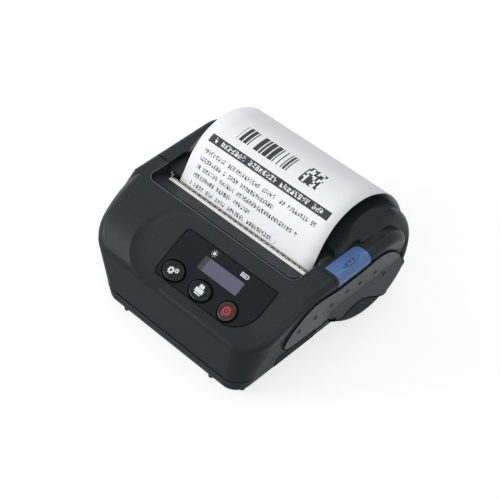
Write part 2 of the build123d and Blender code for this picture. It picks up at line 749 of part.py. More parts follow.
with BuildPart() as lower:
    add(shell.part)
    add(tub_zone(0), mode=Mode.INTERSECT)
    add(lid_zone(gap), mode=Mode.SUBTRACT)
    add(slab((bay_x[0] - bay_wall, bay_x[1] + bay_wall), (bay_y[0] - bay_wall, bay_y[1] + bay_wall),
             (floor_z, bay_z + bay_wall)))
    for x in (-screw_x, screw_x):
        add(pillar(x, screw_front_y, (floor_z, 12.8), boss_r))
    for x in (-mount_x, mount_x):
        add(pillar(x, screw_rear_y, (floor_z + 1, frame_base_z), boss_r))
    for x in (-26, 20):
        for y in (-38, -12):
            add(pillar(x, y, (bay_z, board_z), 2.4))
            add(pillar(x, y, (bay_z + 0.8, board_z + 1), screw_r - 0.3), mode=Mode.SUBTRACT)
    for y in (-24.5, -11.5):
        add(pillar(28.5, y, (floor_z + 1, port_board_z), 1.8))
    add(rod((-barrel_half - 2, barrel_half + 2), hinge_y, hinge_z, hinge_relief_r), mode=Mode.SUBTRACT)
    for x, s in hinge_pins_x:
        for end in (-1, 1):
            add(rod((x + end * 3.1 - knuckle_half, x + end * 3.1 + knuckle_half), hinge_y, hinge_z,
                    knuckle_r))
            add(slab((x + end * 3.1 - knuckle_half, x + end * 3.1 + knuckle_half), (48.6, 50.6),
                     (17.6, hinge_z)))
        add(rod((x - knuckle_half - 0.1, x + knuckle_half + 0.1), hinge_y, hinge_z, knuckle_r + gap),
            mode=Mode.SUBTRACT)
        add(rod((x - 4.7, x + 4.7), hinge_y, hinge_z, hinge_pin_r), mode=Mode.SUBTRACT)
    for x, y in nub_spots:
        add(pillar(x, y, (0, floor_z + 1.2), nub_r))
    add(slab(bay_x, bay_y, (-2, bay_z)), mode=Mode.SUBTRACT)
    add(slab((-latch_half - gap, latch_half + gap), (latch_y[0] - 1.6, bay_y[0]), (-2, 4.2)),
        mode=Mode.SUBTRACT)
    with BuildPart(mode=Mode.PRIVATE) as recess:
        add(slab((30, 60), (port_front_y - gap, port_rear_y + gap), (port_low_z - gap,
                                                                     port_high_z + gap)))
        add(wedge(-1.3 - gap), mode=Mode.SUBTRACT)
    add(recess.part, mode=Mode.SUBTRACT)
    add(slab((36, 60), (usb_y - usb_half - 0.3, usb_y + usb_half + 0.3), (usb_z[0] - 0.3,
                                                                          usb_z[1] + 0.3)),
        mode=Mode.SUBTRACT)
    add(rod((36, 60), jack_y, jack_z, jack_r + 0.3), mode=Mode.SUBTRACT)
    for x in (-screw_x, screw_x):
        add(pillar(x, screw_front_y, (-1, 5), 2.3), mode=Mode.SUBTRACT)
        add(pillar(x, screw_front_y, (4, 14), screw_r + fit), mode=Mode.SUBTRACT)
    for x in (-mount_x, mount_x):
        add(pillar(x, screw_rear_y, (14, frame_base_z + 1), screw_r), mode=Mode.SUBTRACT)
keep(lower.part, "lower_case")

with BuildPart() as case_screws:
    for x in (-screw_x, screw_x):
        add(screw(x, screw_front_y, 3.5, 21))
keep(case_screws.part, "case_screws")
with BuildPart() as battery:
    add(slab((battery_left, battery_right), (battery_front, battery_rear), (floor_z, battery_high_z)))
    fillet(battery.edges().filter_by(Axis.Z), 2)
    with Locations((-3, battery_rear - 6, floor_z)):
        Box(16, 3, 2.4, mode=Mode.SUBTRACT)
keep(battery.part, "battery_pack")
with BuildPart() as contacts:
    for x in (-12, -6, 0, 6):
        add(slab((x - 1.2, x + 1.2), (-16, -12), (bay_z - 0.3, bay_z)))
keep(contacts.part, "battery_contacts")
with BuildPart() as latch:
    add(slab((-latch_half, latch_half), latch_y, (1.6, 4)))
    for k in range(4):
        add(slab((-latch_half, latch_half), (latch_y[0] + 0.3 + k * 0.6, latch_y[0] + 0.6 + k * 0.6),
                 (1.3, 1.6)))
keep(latch.part, "battery_latch")
with BuildPart() as pads:
    for x in (-30, 30):
        with BuildSketch(Plane.XY):
            with Locations((x, barrel_y)):
                RectangleRounded(24, 12, 2.5)
        extrude(amount=barrel_flat_z)
keep(pads.part, "rubber_pads")
with BuildPart() as pins:
    for x, s in hinge_pins_x:
        add(rod((x - 4.7, x + 4.7), hinge_y, hinge_z, hinge_pin_r))
keep(pins.part, "hinge_pins")

# Boards
with BuildPart() as main_board:
    add(slab((-34, 34), (-42, -9.5), (board_z, board_z + board_thick)))
    for x in (-26, 20):
        for y in (-38, -12):
            add(pillar(x, y, (board_z - 1, board_z + 3), screw_r + fit), mode=Mode.SUBTRACT)
keep(main_board.part, "main_board")
board_top = board_z + board_thick
with BuildPart() as chips:
    for x, y, wide, deep, tall in ((-2, -26, 12, 12, 1.2), (12, -30, 7, 5, 1), (12, -20, 6, 9, 2.2),
                                   (26, -32, 8, 12, 2.6), (-14, -14, 10, 4, 2), (4, -14, 14, 4, 2.4)):
        add(slab((x - wide / 2, x + wide / 2), (y - deep / 2, y + deep / 2), (board_top,
                                                                              board_top + tall)))
keep(chips.part, "board_components")
with BuildPart() as board_screws:
    for x in (-26, 20):
        for y in (-38, -12):
            add(pillar(x, y, (board_z - 1.4, board_top), screw_r - 0.3))
            add(pillar(x, y, (board_top, board_top + 1), 1.9))
keep(board_screws.part, "board_screws")
with BuildPart() as port_board:
    add(slab(port_x, port_y, (port_board_z, port_board_z + 1)))
keep(port_board.part, "port_board")
wall_at = base_half - wall + 0.3
with BuildPart() as usb:
    add(slab((wall_at - 6.5, wall_at + 1), (usb_y - usb_half, usb_y + usb_half), (port_board_z + 1,
                                                                                  usb_z[1])))
    add(slab((wall_at - 3, wall_at + 2), (usb_y - usb_half + 0.6, usb_y + usb_half - 0.6),
             (port_board_z + 1.6, usb_z[1] - 0.5)), mode=Mode.SUBTRACT)
    add(slab((wall_at - 4, wall_at + 0.6), (usb_y - usb_half + 1.6, usb_y + usb_half - 1.6),
             (port_board_z + 2.2, port_board_z + 2.9)))
keep(usb.part, "usb_socket")
with BuildPart() as jack:
    add(rod((wall_at - 9, wall_at + 1), jack_y, jack_z, jack_r))
    add(slab((wall_at - 9, wall_at - 1), (jack_y - jack_r, jack_y + jack_r), (port_board_z + 1, jack_z)))
    add(rod((wall_at - 7, wall_at + 2), jack_y, jack_z, 2.1), mode=Mode.SUBTRACT)
    add(rod((wall_at - 8, wall_at), jack_y, jack_z, 0.7))
keep(jack.part, "power_jack")

# Mechanism frame: base, front wall, two ears with notches for the platen bushes
reach_y = platen_y - motor_y
reach_z = platen_z - motor_z
reach = math.hypot(reach_y, reach_z)
first = module * (pinion_teeth + big_teeth) / 2 + 0.12
second = module * (small_teeth + platen_teeth) / 2 + 0.12
along = (reach ** 2 + first ** 2 - second ** 2) / (2 * reach)
aside = math.sqrt(first ** 2 - along ** 2)
gear_y = motor_y + (along * reach_y + aside * reach_z) / reach
gear_z = motor_z + (along * reach_z - aside * reach_y) / reach
big_x = (ear_left - 1.4 - gear_wide, ear_left - 1.4)
small_x = (big_x[0] - 0.4 - gear_wide, big_x[0] - 0.4)
half_ear = frame_thick / 2


def ear(x, motor_side):
    """One side plate of the mechanism frame."""
    front = [(motor_y - motor_r - 1, frame_base_z), (motor_y - motor_r - 1, 36), (motor_y - 1, 40.6)]
    if not motor_side:
        front = [(frame_front_y, frame_base_z)]
    outline = front + [(frame_front_y, frame_top_z), (8, frame_top_z), (8, 36), (-3, frame_base_z)]
    lean = (0.4 * 9, 0.92 * 9)
    half = bush_r + gap
    notch = [(platen_y - half, platen_z), (platen_y + half, platen_z),
             (platen_y + half + lean[0], platen_z + lean[1]), (platen_y - half + lean[0],
                                                               platen_z + lean[1])]
    span = (x - half_ear, x + half_ear)
    wide = (x - 1, x + 1)
    with BuildPart() as plate_part:
        add(side_plate(outline, span))
        add(side_plate(notch, wide), mode=Mode.SUBTRACT)
        add(rod(wide, platen_y, platen_z, half), mode=Mode.SUBTRACT)
        add(rod(wide, head_pivot_y, head_pivot_z, head_pivot_r), mode=Mode.SUBTRACT)
        if motor_side:
            add(rod(wide, motor_y, motor_z, 2.2), mode=Mode.SUBTRACT)
            add(rod(wide, gear_y, gear_z, 1.0), mode=Mode.SUBTRACT)
        else:
            add(rod(wide, catch_y, catch_z, catch_r - 0.2), mode=Mode.SUBTRACT)
    return plate_part.part


with BuildPart() as frame_form:
    add(ear(ear_left, True))
    add(ear(ear_right, False))
    add(slab((ear_left - half_ear, ear_right + half_ear), (frame_front_y, -3), (frame_base_z,
                                                                                frame_base_z + frame_thick)))
    add(slab((ear_left - half_ear, ear_right + half_ear), (frame_front_y, frame_front_y + frame_thick),
             (frame_base_z, frame_top_z - 1.2)))
    for x in (-mount_x, mount_x):
        add(pillar(x, screw_rear_y, (frame_base_z - 1, frame_base_z + 2), screw_r + fit),
            mode=Mode.SUBTRACT)
keep(frame_form.part, "mechanism_frame")
with BuildPart() as frame_screws:
    for x in (-mount_x, mount_x):
        add(screw(x, screw_rear_y, frame_base_z + frame_thick + 1.5, 15.5))
keep(frame_screws.part, "mechanism_screws")
with BuildPart() as catch:
    add(rod((ear_right - half_ear, ear_right + half_ear), catch_y, catch_z, catch_r - 0.2))
    add(rod((ear_right + half_ear, hook_x - 0.9), catch_y, catch_z, catch_r))
keep(catch.part, "lid_catch")

# Print head on its pivot, sprung against the platen
lug_r = 2.4
head_x = (media_left - 0.3, media_right + 0.3)
with BuildPart() as carrier:
    add(slab(head_x, (head_face_y - head_thick, head_face_y - 1.1), (head_pivot_z, frame_top_z - 0.6)))
    for x in (head_x[0] + 3, 1.5, head_x[1] - 3):
        add(rod((x - 3, x + 3), head_pivot_y, head_pivot_z, lug_r))
    add(rod((-50, 50), head_pivot_y, head_pivot_z, head_pivot_r + fit), mode=Mode.SUBTRACT)
keep(carrier.part, "head_carrier")
with BuildPart() as head_strip:
    add(slab(head_x, (head_face_y - 1.1, head_face_y), (head_pivot_z + 3.2, frame_top_z - 0.3)))
keep(head_strip.part, "print_head")
keep(rod((ear_left - half_ear, ear_right + half_ear), head_pivot_y, head_pivot_z, head_pivot_r),
     "head_pivot_shaft")
spring_foot = (frame_front_y + frame_thick, -15.5)
spring_path = ((-15.7, 32), (-15.5, 34), (-14.2, 37), (-11.7, 38.2), (-10.35, 37.4))
with BuildPart() as springs:
    for x in (-20, 22):
        add(ribbon(spring_path, 0.3, (x - 3, x + 3)))
        add(slab((x - 3, x + 3), spring_foot, (30.8, 32.6)))
keep(springs.part, "head_springs")
with BuildPart() as sensor:
    add(slab((5, 13), (-6.6, -4.6), (frame_base_z + frame_thick, 31)))
keep(sensor.part, "paper_sensor")

# Drive
inner_ear = ear_left + half_ear
outer_ear = ear_left - half_ear
with BuildPart() as motor:
    add(rod((inner_ear, inner_ear + motor_long), motor_y, motor_z, motor_r))
    fillet(motor.edges().sort_by(Axis.X)[-1], 1)
    add(rod((outer_ear, inner_ear), motor_y, motor_z, 2.2))
    add(rod((outer_ear - 1, inner_ear + 5), motor_y, motor_z, 1 + fit), mode=Mode.SUBTRACT)
    keep(motor.part, "stepper_motor")
aim = math.atan2(gear_z - motor_z, gear_y - motor_y)
lead = math.atan2(platen_z - gear_z, platen_y - gear_y)
pinion_step = 2 * math.pi / pinion_teeth
big_step = 2 * math.pi / big_teeth
small_step = 2 * math.pi / small_teeth
platen_step = 2 * math.pi / platen_teeth
with BuildPart() as pinion:
    add(gear(pinion_teeth, big_x, motor_y, motor_z, aim, 0.9))
    add(rod((big_x[0] - 0.6, inner_ear + 4.8), motor_y, motor_z, 1.0))
keep(pinion.part, "motor_pinion")
with BuildPart() as reduction:
    add(gear(big_teeth, big_x, gear_y, gear_z, aim + math.pi + big_step / 2, 1 + fit))
    add(gear(small_teeth, small_x, gear_y, gear_z, lead, 1 + fit))
    add(rod((small_x[1], big_x[0]), gear_y, gear_z, 3, 1 + fit))
keep(reduction.part, "reduction_gear")
with BuildPart() as gear_shaft:
    add(rod((small_x[0] - 0.4, inner_ear), gear_y, gear_z, 1.0))
keep(gear_shaft.part, "gear_shaft")

# Platen with bushes on the lid's bracket
arm_left = (media_left - 0.6 - arm_thick, media_left - 0.6)
arm_right = (media_right + 0.6, media_right + 0.6 + arm_thick)
bush_left = (ear_left - half_ear, arm_left[1])
bush_right = (arm_right[0], ear_right + half_ear)
keep(rod((media_left - 0.3, media_right + 0.3), platen_y, platen_z, platen_r, platen_shaft_r),
     "platen_roller")
keep(rod((small_x[0] - 0.4, bush_right[1] + 0.5), platen_y, platen_z, platen_shaft_r), "platen_shaft")
keep(gear(platen_teeth, small_x, platen_y, platen_z, lead + math.pi + platen_step / 2,
          platen_shaft_r), "platen_gear")
with BuildPart() as bushes:
    add(rod(bush_left, platen_y, platen_z, bush_r, platen_shaft_r + fit))
    add(rod(bush_right, platen_y, platen_z, bush_r, platen_shaft_r + fit))
keep(bushes.part, "platen_bushes")
arm_side = [(platen_y - 3.9, 41), (platen_y - 3.9, 36.6), (platen_y - 2, 34.6), (platen_y + 3, 34.6),
            (5.8, 37),
            (5.8, 44.9), (4.6, 44.9), (1.5, 43)]
with BuildPart() as bracket:
    add(side_plate(arm_side, arm_left))
    add(side_plate(arm_side, arm_right))
    add(slab((arm_left[0], arm_right[1]), (4.6, 5.8), (37, 44.9)))
    add(slab((arm_left[0], arm_right[1]), (4.6, 12.6), (44.9, trough_floor_z + 1.1)))
    add(slab((-60, 60), (4, 7.2), (trough_floor_z + 0.9, 47)), mode=Mode.SUBTRACT)
    add(rod((-60, 60), platen_y, platen_z, bush_r), mode=Mode.SUBTRACT)
    for x in (-30, 30):
        add(pillar(x, 10, (43, 48), screw_r + fit), mode=Mode.SUBTRACT)
keep(bracket.part, "platen_bracket")
with BuildPart() as lid_screws:
    for x in (-30, 30):
        add(screw(x, 10, 43.4, 49.6))
keep(lid_screws.part, "lid_screws")

# Cradle and label roll
cradle_x = (cheek_left - cheek_thick, cheek_right + cheek_thick)
with BuildPart() as cradle:
    add(rod(cradle_x, barrel_y, barrel_z, cradle_r + cradle_thick))
    add(rod((cheek_left, cheek_right), barrel_y, barrel_z, cradle_r), mode=Mode.SUBTRACT)
    add(slab((cheek_left, cheek_right), (-10, barrel_y), (24, 60)), mode=Mode.SUBTRACT)
    add(slab((cheek_left, cheek_right), (barrel_y, 60), (14, 60)), mode=Mode.SUBTRACT)
    add(slab((-60, 60), (-10, 60), (cheek_z, 60)), mode=Mode.SUBTRACT)
    add(slab((-60, 60), (-10, 60), (-5, barrel_flat_z + wall)), mode=Mode.SUBTRACT)
keep(cradle.part, "roll_cradle")
keep(rod((media_left, media_right), barrel_y, roll_z, roll_r, core_r), "paper_roll")
keep(rod((media_left, media_right), barrel_y, roll_z, core_r, core_bore_r), "roll_core")
with BuildPart() as web:
    with BuildSketch(Plane.YZ.offset(media_left)):
        with BuildLine() as web_path:
            Polyline((6.42, 13.86), (-6.3, 35.4), (-6.6, 38.6), (-6.6, 42.5), (-7.1, 44.4))
        trace(web_path.line, line_width=label_thick)
    extrude(amount=label_width)
keep(web.part, "paper_web")
strip_path = ((-7.3, 45), (-5.1, 48.2), (2.8, 59.1), (11.8, 64.8), (23.8, 66), (34.4, 62.4), (41.2,
                                                                                              57.4),
              (46.4, 50.6), (49.5, 44.2), (51.2, 39.5), (51.9, 36.5))
keep(ribbon(strip_path, label_thick, (media_left, media_right)), "paper_strip")

# Serrated tear bar
teeth = []
count = int((2 * trough_half + 2) / tooth_pitch)
left = -count * tooth_pitch / 2
for k in range(count):
    teeth.append((left + k * tooth_pitch, tear_y))
    teeth.append((left + (k + 0.5) * tooth_pitch, tear_y + tooth_reach))
with BuildPart() as tear_bar:
    with BuildSketch(Plane.XY.offset(bar_z)):
        with BuildLine():
            Polyline(*teeth, (-left, tear_y), (-left, tear_y - tear_wide), (left, tear_y - tear_wide),
                     close=True)
        make_face()
    extrude(amount=tear_thick)
keep(tear_bar.part, "tear_bar")
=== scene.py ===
# %% [markdown]
# This lesson dresses a portable label printer. Its hard parts, from the casing to the gears,
# come from a CAD model that stays as it is, so every finish and every added piece has to fit
# round it. The model is loaded first.

# %% Load the printer
import math

import bmesh
import bpy
from mathutils import Matrix, Vector


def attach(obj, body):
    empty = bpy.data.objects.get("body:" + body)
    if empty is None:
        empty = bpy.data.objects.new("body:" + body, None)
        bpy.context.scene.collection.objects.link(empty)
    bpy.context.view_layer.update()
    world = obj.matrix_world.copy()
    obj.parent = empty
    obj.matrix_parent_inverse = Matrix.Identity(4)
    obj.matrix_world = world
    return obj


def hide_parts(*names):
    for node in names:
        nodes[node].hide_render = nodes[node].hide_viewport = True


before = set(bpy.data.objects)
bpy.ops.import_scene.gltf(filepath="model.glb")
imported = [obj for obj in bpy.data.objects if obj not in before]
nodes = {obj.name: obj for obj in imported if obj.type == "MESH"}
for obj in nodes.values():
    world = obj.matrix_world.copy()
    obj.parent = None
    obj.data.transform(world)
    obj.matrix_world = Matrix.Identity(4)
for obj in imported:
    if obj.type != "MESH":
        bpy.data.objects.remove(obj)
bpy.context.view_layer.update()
MM = 0.001

# %% [markdown]
# The camera stands where the photograph was taken: in front of the printer, to its right, and
# about 46 degrees above the table. A long lens keeps the edges nearly parallel, as a product
# shot does. The place was worked out beforehand from the printer's own straight edges.

# %% Camera
azimuth, elevation = math.radians(45.13), math.radians(46.0)
look_from = Vector((0.31118, -0.31128, 0.47875))
outward = Vector((math.sin(azimuth) * math.cos(elevation), -math.cos(azimuth) * math.cos(elevation),
                  math.sin(elevation)))
lens_data = bpy.data.cameras.new("product_lens")
lens_data.lens, lens_data.sensor_width = 102.5, 36
camera = bpy.data.objects.new("product_camera", lens_data)
camera.location = look_from
camera.rotation_mode = "QUATERNION"
camera.rotation_quaternion = (-outward).to_track_quat("-Z", "Y")
bpy.context.scene.collection.objects.link(camera)
bpy.context.scene.camera = camera
print("camera at", [round(v, 3) for v in look_from])

# %% [markdown]
# A finish is a small network of nodes. Written node by node it hides the idea behind it, so
# a wrapped socket is given plain arithmetic: adding two of them adds a Math node. Each sum has
# a reflected form for a plain number on its left, so that 1 - mask works. Everything else
# a finish needs goes through one method that makes a node, sets it and wires it.

# %% A socket that does sums
class Wire:
    """A node's output, used in an expression like a number."""

    def __init__(self, finish, socket):
        self.finish, self.socket = finish, socket

    def sum_with(self, operation, left, right=None):
        values = (left,) if right is None else (left, right)
        return self.finish.node("ShaderNodeMath", {"operation": operation}, *values)

    def __add__(self, other):
        return self.sum_with("ADD", self, other)

    def __radd__(self, other):
        return self.sum_with("ADD", other, self)

    def __sub__(self, other):
        return self.sum_with("SUBTRACT", self, other)

    def __rsub__(self, other):
        return self.sum_with("SUBTRACT", other, self)

    def __mul__(self, other):
        return self.sum_with("MULTIPLY", self, other)

    def __rmul__(self, other):
        return self.sum_with("MULTIPLY", other, self)

    def __truediv__(self, other):
        return self.sum_with("DIVIDE", self, other)

    def __rtruediv__(self, other):
        return self.sum_with("DIVIDE", other, self)

    def __lt__(self, other):
        return self.sum_with("LESS_THAN", self, other)

    def __gt__(self, other):
        return self.sum_with("GREATER_THAN", self, other)

    def __mod__(self, other):
        return self.sum_with("FLOORED_MODULO", self, other)

    def __rmod__(self, other):
        return self.sum_with("FLOORED_MODULO", other, self)

    def floor(self):
        return self.sum_with("FLOOR", self)

    def between(self, low, high):
        """1 inside the two limits, 0 outside them."""
        return (self > low) * (self < high)


print("sums: add, take, times, share, less, more, remainder")

# %% [markdown]
# A screen colour isn't an amount of light, so colours are turned into light before a node
# gets them. The same finish is often wanted a little darker or lighter, in its hollows or on
# its edges, so a second helper scales a colour.


# %% Colours
def linear(red, green, blue):
    """The colour of a screen value from 0 to 255, as light."""
    def one(v):
        v /= 255
        return v / 12.92 if v <= 0.04045 else ((v + 0.055) / 1.055) ** 2.4
    return one(red), one(green), one(blue), 1.0


def shade(colour, factor):
    """A colour made darker or lighter, up to white."""
    return tuple(min(v * factor, 1.0) for v in colour[:3]) + (1.0,)


print("mid grey is", [round(v, 3) for v in linear(128, 128, 128)[:3]])

# %% [markdown]
# A finish holds one material, or the sky, and its nodes. Its methods are named after what a
# surface shows, such as noise, a mix or a bump, so that each finish below reads as a recipe.


# %% A finish and its one way to make a node
class Finish:
    """A surface or sky built up by expressions; holder is a new material's name, or a made one."""

    def __init__(self, holder):
        self.material = bpy.data.materials.new(holder) if isinstance(holder, str) else holder
        self.material.use_nodes = True
        self.tree = self.material.node_tree
        self.surface = self.tree.nodes.get("Principled BSDF") or self.tree.nodes["Background"]

    def put(self, node, key, value):
        """Sets or wires one socket, found by its place, name or identifier."""
        if isinstance(key, int):
            socket = node.inputs[key]
        else:
            socket = next((s for s in node.inputs if s.identifier == key), None) or node.inputs[key]
        if isinstance(value, Wire):
            self.tree.links.new(value.socket, socket)
        else:
            socket.default_value = value

    def node(self, kind, settings=None, *values, out=0, **named):
        """Makes a node; values go to its sockets in order, named ones by name; out is returned."""
        made = self.tree.nodes.new(kind)
        for key, value in (settings or {}).items():
            setattr(made, key, value)
        for place, value in enumerate(values):
            self.put(made, place, value)
        for key, value in named.items():
            self.put(made, key, value)
        if isinstance(out, int):
            return Wire(self, made.outputs[out])
        return Wire(self, next(s for s in made.outputs if out in (s.identifier, s.name)))

    def mix(self, mask, without, with_it):
        """One colour where the mask is 0, the other where it is 1."""
        return self.node("ShaderNodeMix", {"data_type": "RGBA"}, Factor_Float=mask, A_Color=without,
                         B_Color=with_it, out="Result_Color")

    def place(self):
        """Where on the object a point is, in metres."""
        return self.node("ShaderNodeTexCoord", out="Object")

    def axes(self, vector):
        """The x, y and z of a vector."""
        split = self.node("ShaderNodeSeparateXYZ", None, vector).socket.node
        return [Wire(self, socket) for socket in split.outputs]

    def noise(self, size, detail=2.0, rough=0.5, where=None):
        """Noise from 0 to 1 whose lumps are about size metres across."""
        return self.node("ShaderNodeTexNoise", None, Vector=where or self.place(), Scale=1 / size,
                         Detail=detail, Roughness=rough, out="Fac")

    def bump(self, height, depth, strength):
        """A bump whose full height is depth metres."""
        return self.node("ShaderNodeBump", None, Height=height, Distance=depth, Strength=strength)

    def worn(self, key):
        """What a socket of the surface is wired to now."""
        return Wire(self, self.surface.inputs[key].links[0].from_socket)

    def wear(self, **sockets):
        """Sets the surface's own sockets; spaces in their names are written as underscores."""
        for key, value in sockets.items():
            self.put(self.surface, key.replace("_", " "), value)
        return self.material


print("a finish can:", [name for name in vars(Finish) if not name.startswith("_")])

# %% [markdown]
# The casing is moulded in a charcoal plastic whose mould was etched, so it has a fine, even
# grain and shows only a broad, soft shine. The grain is noise in a bump, a quarter of
# a millimetre across. A second, slow noise shifts the colour a little, as handling does, and
# sparse pale specks on the tips of the grain are painted highlight, glints painted into the colour.


# %% Grained plastic
def grained(name, colour, roughness=0.5, grain=0.00026, depth=0.00003, shift=0.12, shine=0.28,
            glint_share=0.45):
    """Etched plastic: grain and depth in metres, shift the share by which its colour varies."""
    f = Finish(name)
    slow, fine = f.noise(0.03, 3.0), f.noise(grain, 1.0)
    dark, light, glint_colour = (shade(colour, factor) for factor in (1 - shift, 1 + shift, 1.9))
    # Painted highlight: sparse tips of the grain are lightened in the colour, as glints.
    painted_glints = (f.noise(grain * 2.2, 0.0) > 0.7) * glint_share
    return f.wear(Base_Color=f.mix(painted_glints, f.mix(slow * 0.6 + fine * 0.4, dark, light), glint_colour),
                  Roughness=slow * 0.1 + fine * 0.12 + (roughness - 0.11), Specular_IOR_Level=shine,
                  Normal=f.bump(fine, depth, 0.9))


lower_finish = grained("tub_grain", linear(38, 42, 43), 0.5, shine=0.06)
panel_finish = grained("side_panel_grain", linear(62, 67, 68), 0.44, 0.0003, shine=0.12)
flap_finish = grained("flap_rubber", linear(36, 39, 40), 0.65, 0.0004, shine=0.06)
gap_finish = grained("gap_shade", linear(7, 8, 9), 0.9, 0.0005, shine=0.02)
# The bead's lighter grey is painted highlight; its satin shine is real.
bead_highlight_finish = grained("bead_satin_painted_highlight", linear(56, 60, 63), 0.34, 0.0004, 0.000004, shine=0.4, glint_share=0.0)
blue_finish = grained("lever_blue", linear(76, 108, 162), 0.34, 0.0003, 0.00001, 0.06, 0.45, 0.08)
print("grained:", lower_finish.name, panel_finish.name, flap_finish.name, blue_finish.name)

# %% [markdown]
# The trough round the paper is smoother than the rest of the casing, because labels slide
# over it. The same mould makes both, so one finish serves, and a mask of where the trough
# lies, taken from the point's own place, makes it smoother there and paints it a cooler,
# lighter grey, which is painted sheen for the light its smoother face reflects.
# Hands polish the upper faces, so a thin coat is laid on from the height of the crease up,
# and it fades in over 9 mm.

# %% Casing with a smooth trough
case_finish = grained("case_grain", linear(37, 42, 43), 0.42, shine=0.03)
f = Finish(case_finish)
x, y, z = f.axes(f.place())
trough_x, trough_y, trough_z = (-0.0459, 0.0452), (-0.0193, 0.0056), (0.044, 0.0499)
trough = x.between(*trough_x) * y.between(*trough_y) * z.between(*trough_z)
crease, fade_per_metre = 0.03, 110
handled = f.node("ShaderNodeClamp", None, (z - crease) * fade_per_metre)
# The trough's cooler, lighter grey is painted sheen; its lower roughness is real.
f.wear(Base_Color=f.mix(trough, f.worn("Base Color"), linear(48, 51, 56)),
       Roughness=f.worn("Roughness") - trough * 0.1,
       Coat_Weight=handled * 0.25 * (f.noise(0.02, 2.0) * 0.5 + 0.75), Coat_Roughness=0.36)
print("trough mask and handled tops laid over", case_finish.name)

# %% [markdown]
# The control plate and its keys are polished black. Polished plastic is never quite even, so
# a slow noise moves its roughness, and a fine one scratches it faintly. The clear coat gives
# the sharp second shine of a lacquered plate.


# %% Polished plastic
def polished(name, colour, roughness=0.14, coat=0.5, shine=0.5):
    f = Finish(name)
    slow = f.noise(0.012, 2.0)
    stretched = f.node("ShaderNodeMapping", None, f.place(), Scale=(1, 1, 30))
    rub = f.noise(1 / 900, 3.0, where=stretched)
    return f.wear(Base_Color=f.mix(slow, shade(colour, 0.85), colour),
                  Roughness=slow * 0.08 + (rub > 0.68) * 0.05 + (roughness - 0.04),
                  Specular_IOR_Level=shine, Coat_Weight=coat, Coat_Roughness=0.06,
                  Normal=f.bump(slow, 0.00002, 0.3))


plate_finish = polished("plate_black", linear(20, 25, 28), 0.3, 0.03, 0.12)
key_finish = polished("key_black", linear(18, 21, 23), 0.2, 0.05, 0.2)
red_finish = polished("lens_red", linear(96, 24, 30), 0.2, 0.1, 0.3)
rim_finish = polished("rim_warm", linear(52, 36, 34), 0.22, 0.1, 0.3)
chip_finish = polished("resin_black", linear(30, 30, 32), 0.45, 0.0)
white_finish = polished("gear_white", linear(214, 212, 204), 0.35, 0.0)
glaze_finish = polished("head_glaze", linear(176, 160, 130), 0.2)
print("polished:", plate_finish.name, key_finish.name, red_finish.name, rim_finish.name)

# %% [markdown]
# Behind the window a plain panel shows a pale violet grey, with a darker band at its left
# end where the cells stop. The band is cut from the point's own place across the printer.

# %% Display
f = Finish("display_glass")
x = f.axes(f.place())[0]
cells_from = 0.0058
cells = f.noise(0.0009, 1.0)
lit = f.mix(cells, linear(84, 86, 104), linear(92, 95, 113))
display_finish = f.wear(Base_Color=f.mix(x < cells_from, lit, linear(58, 62, 72)),
                        Roughness=cells * 0.04 + 0.3, Specular_IOR_Level=0.25)
print("display: dark left of", round(cells_from / MM, 1), "mm")

# %% [markdown]
# Metals differ by how they were worked. Brushing is noise stretched along one axis, so that
# the highlight spreads across it. One maker serves steel, alloy and brass.


# %% Metals
def brushed(name, colour, roughness=0.32, along=(40, 1, 1)):
    f = Finish(name)
    stretched = f.node("ShaderNodeMapping", None, f.place(), Scale=tuple(1 / v for v in along))
    lines = f.noise(0.0002, 3.0, 0.6, stretched)
    return f.wear(Base_Color=f.mix(lines, shade(colour, 0.8), colour), Metallic=1.0,
                  Roughness=lines * 0.18 + (roughness - 0.09), Normal=f.bump(lines, 0.000004, 0.5))


steel_finish = brushed("spring_steel", linear(172, 170, 166))
screw_finish = brushed("zinc_screw", linear(150, 150, 152), 0.4, (1, 1, 12))
alloy_finish = brushed("head_alloy", linear(200, 202, 204), 0.38)
brass_finish = brushed("bush_brass", linear(196, 160, 92), 0.3)
print("metals:", steel_finish.name, screw_finish.name, alloy_finish.name, brass_finish.name)

# %% [markdown]
# The tear bar is pressed from steel. Its ground front half is painted almost white and made
# barely metallic, as painted highlight for the bright line of light along it. The model cuts its
# back edge into pointed teeth, and the finish lays finer dark and bright ticks over them, so
# that the edge looks as finely cut as the real one; the dark ticks are painted shade in the gaps
# between the teeth. A point's place across the printer says whether it is on a tick or in a gap.

# %% Tear bar steel
# Near white and barely metallic: painted highlight for the steel's bright edge.
tear_finish = brushed("tear_steel", linear(246, 245, 241), 0.4, (1, 40, 1))
f = Finish(tear_finish)
x, y = f.axes(f.place())[:2]
ticks_from, tick_pitch, tick_share = -0.00885, 0.0009, 0.45
# The dark ticks are painted shade in the gaps between the teeth.
painted_gap_shade = (y > ticks_from) * ((x / tick_pitch) % 1.0 > tick_share)
f.wear(Base_Color=f.mix(painted_gap_shade, f.worn("Base Color"), linear(24, 24, 26)), Metallic=0.15)
print("tear bar: ticks every", tick_pitch / MM, "mm behind y =", round(ticks_from / MM, 2), "mm")

# %% [markdown]
# Rubber, card and circuit board are dull. Rubber has a fine bloom, card has short fibres, and
# a board shows its copper tracks as slightly raised straight runs under green lacquer. There
# are so many runs to a metre one way and the other, and slow noise hides some of them.

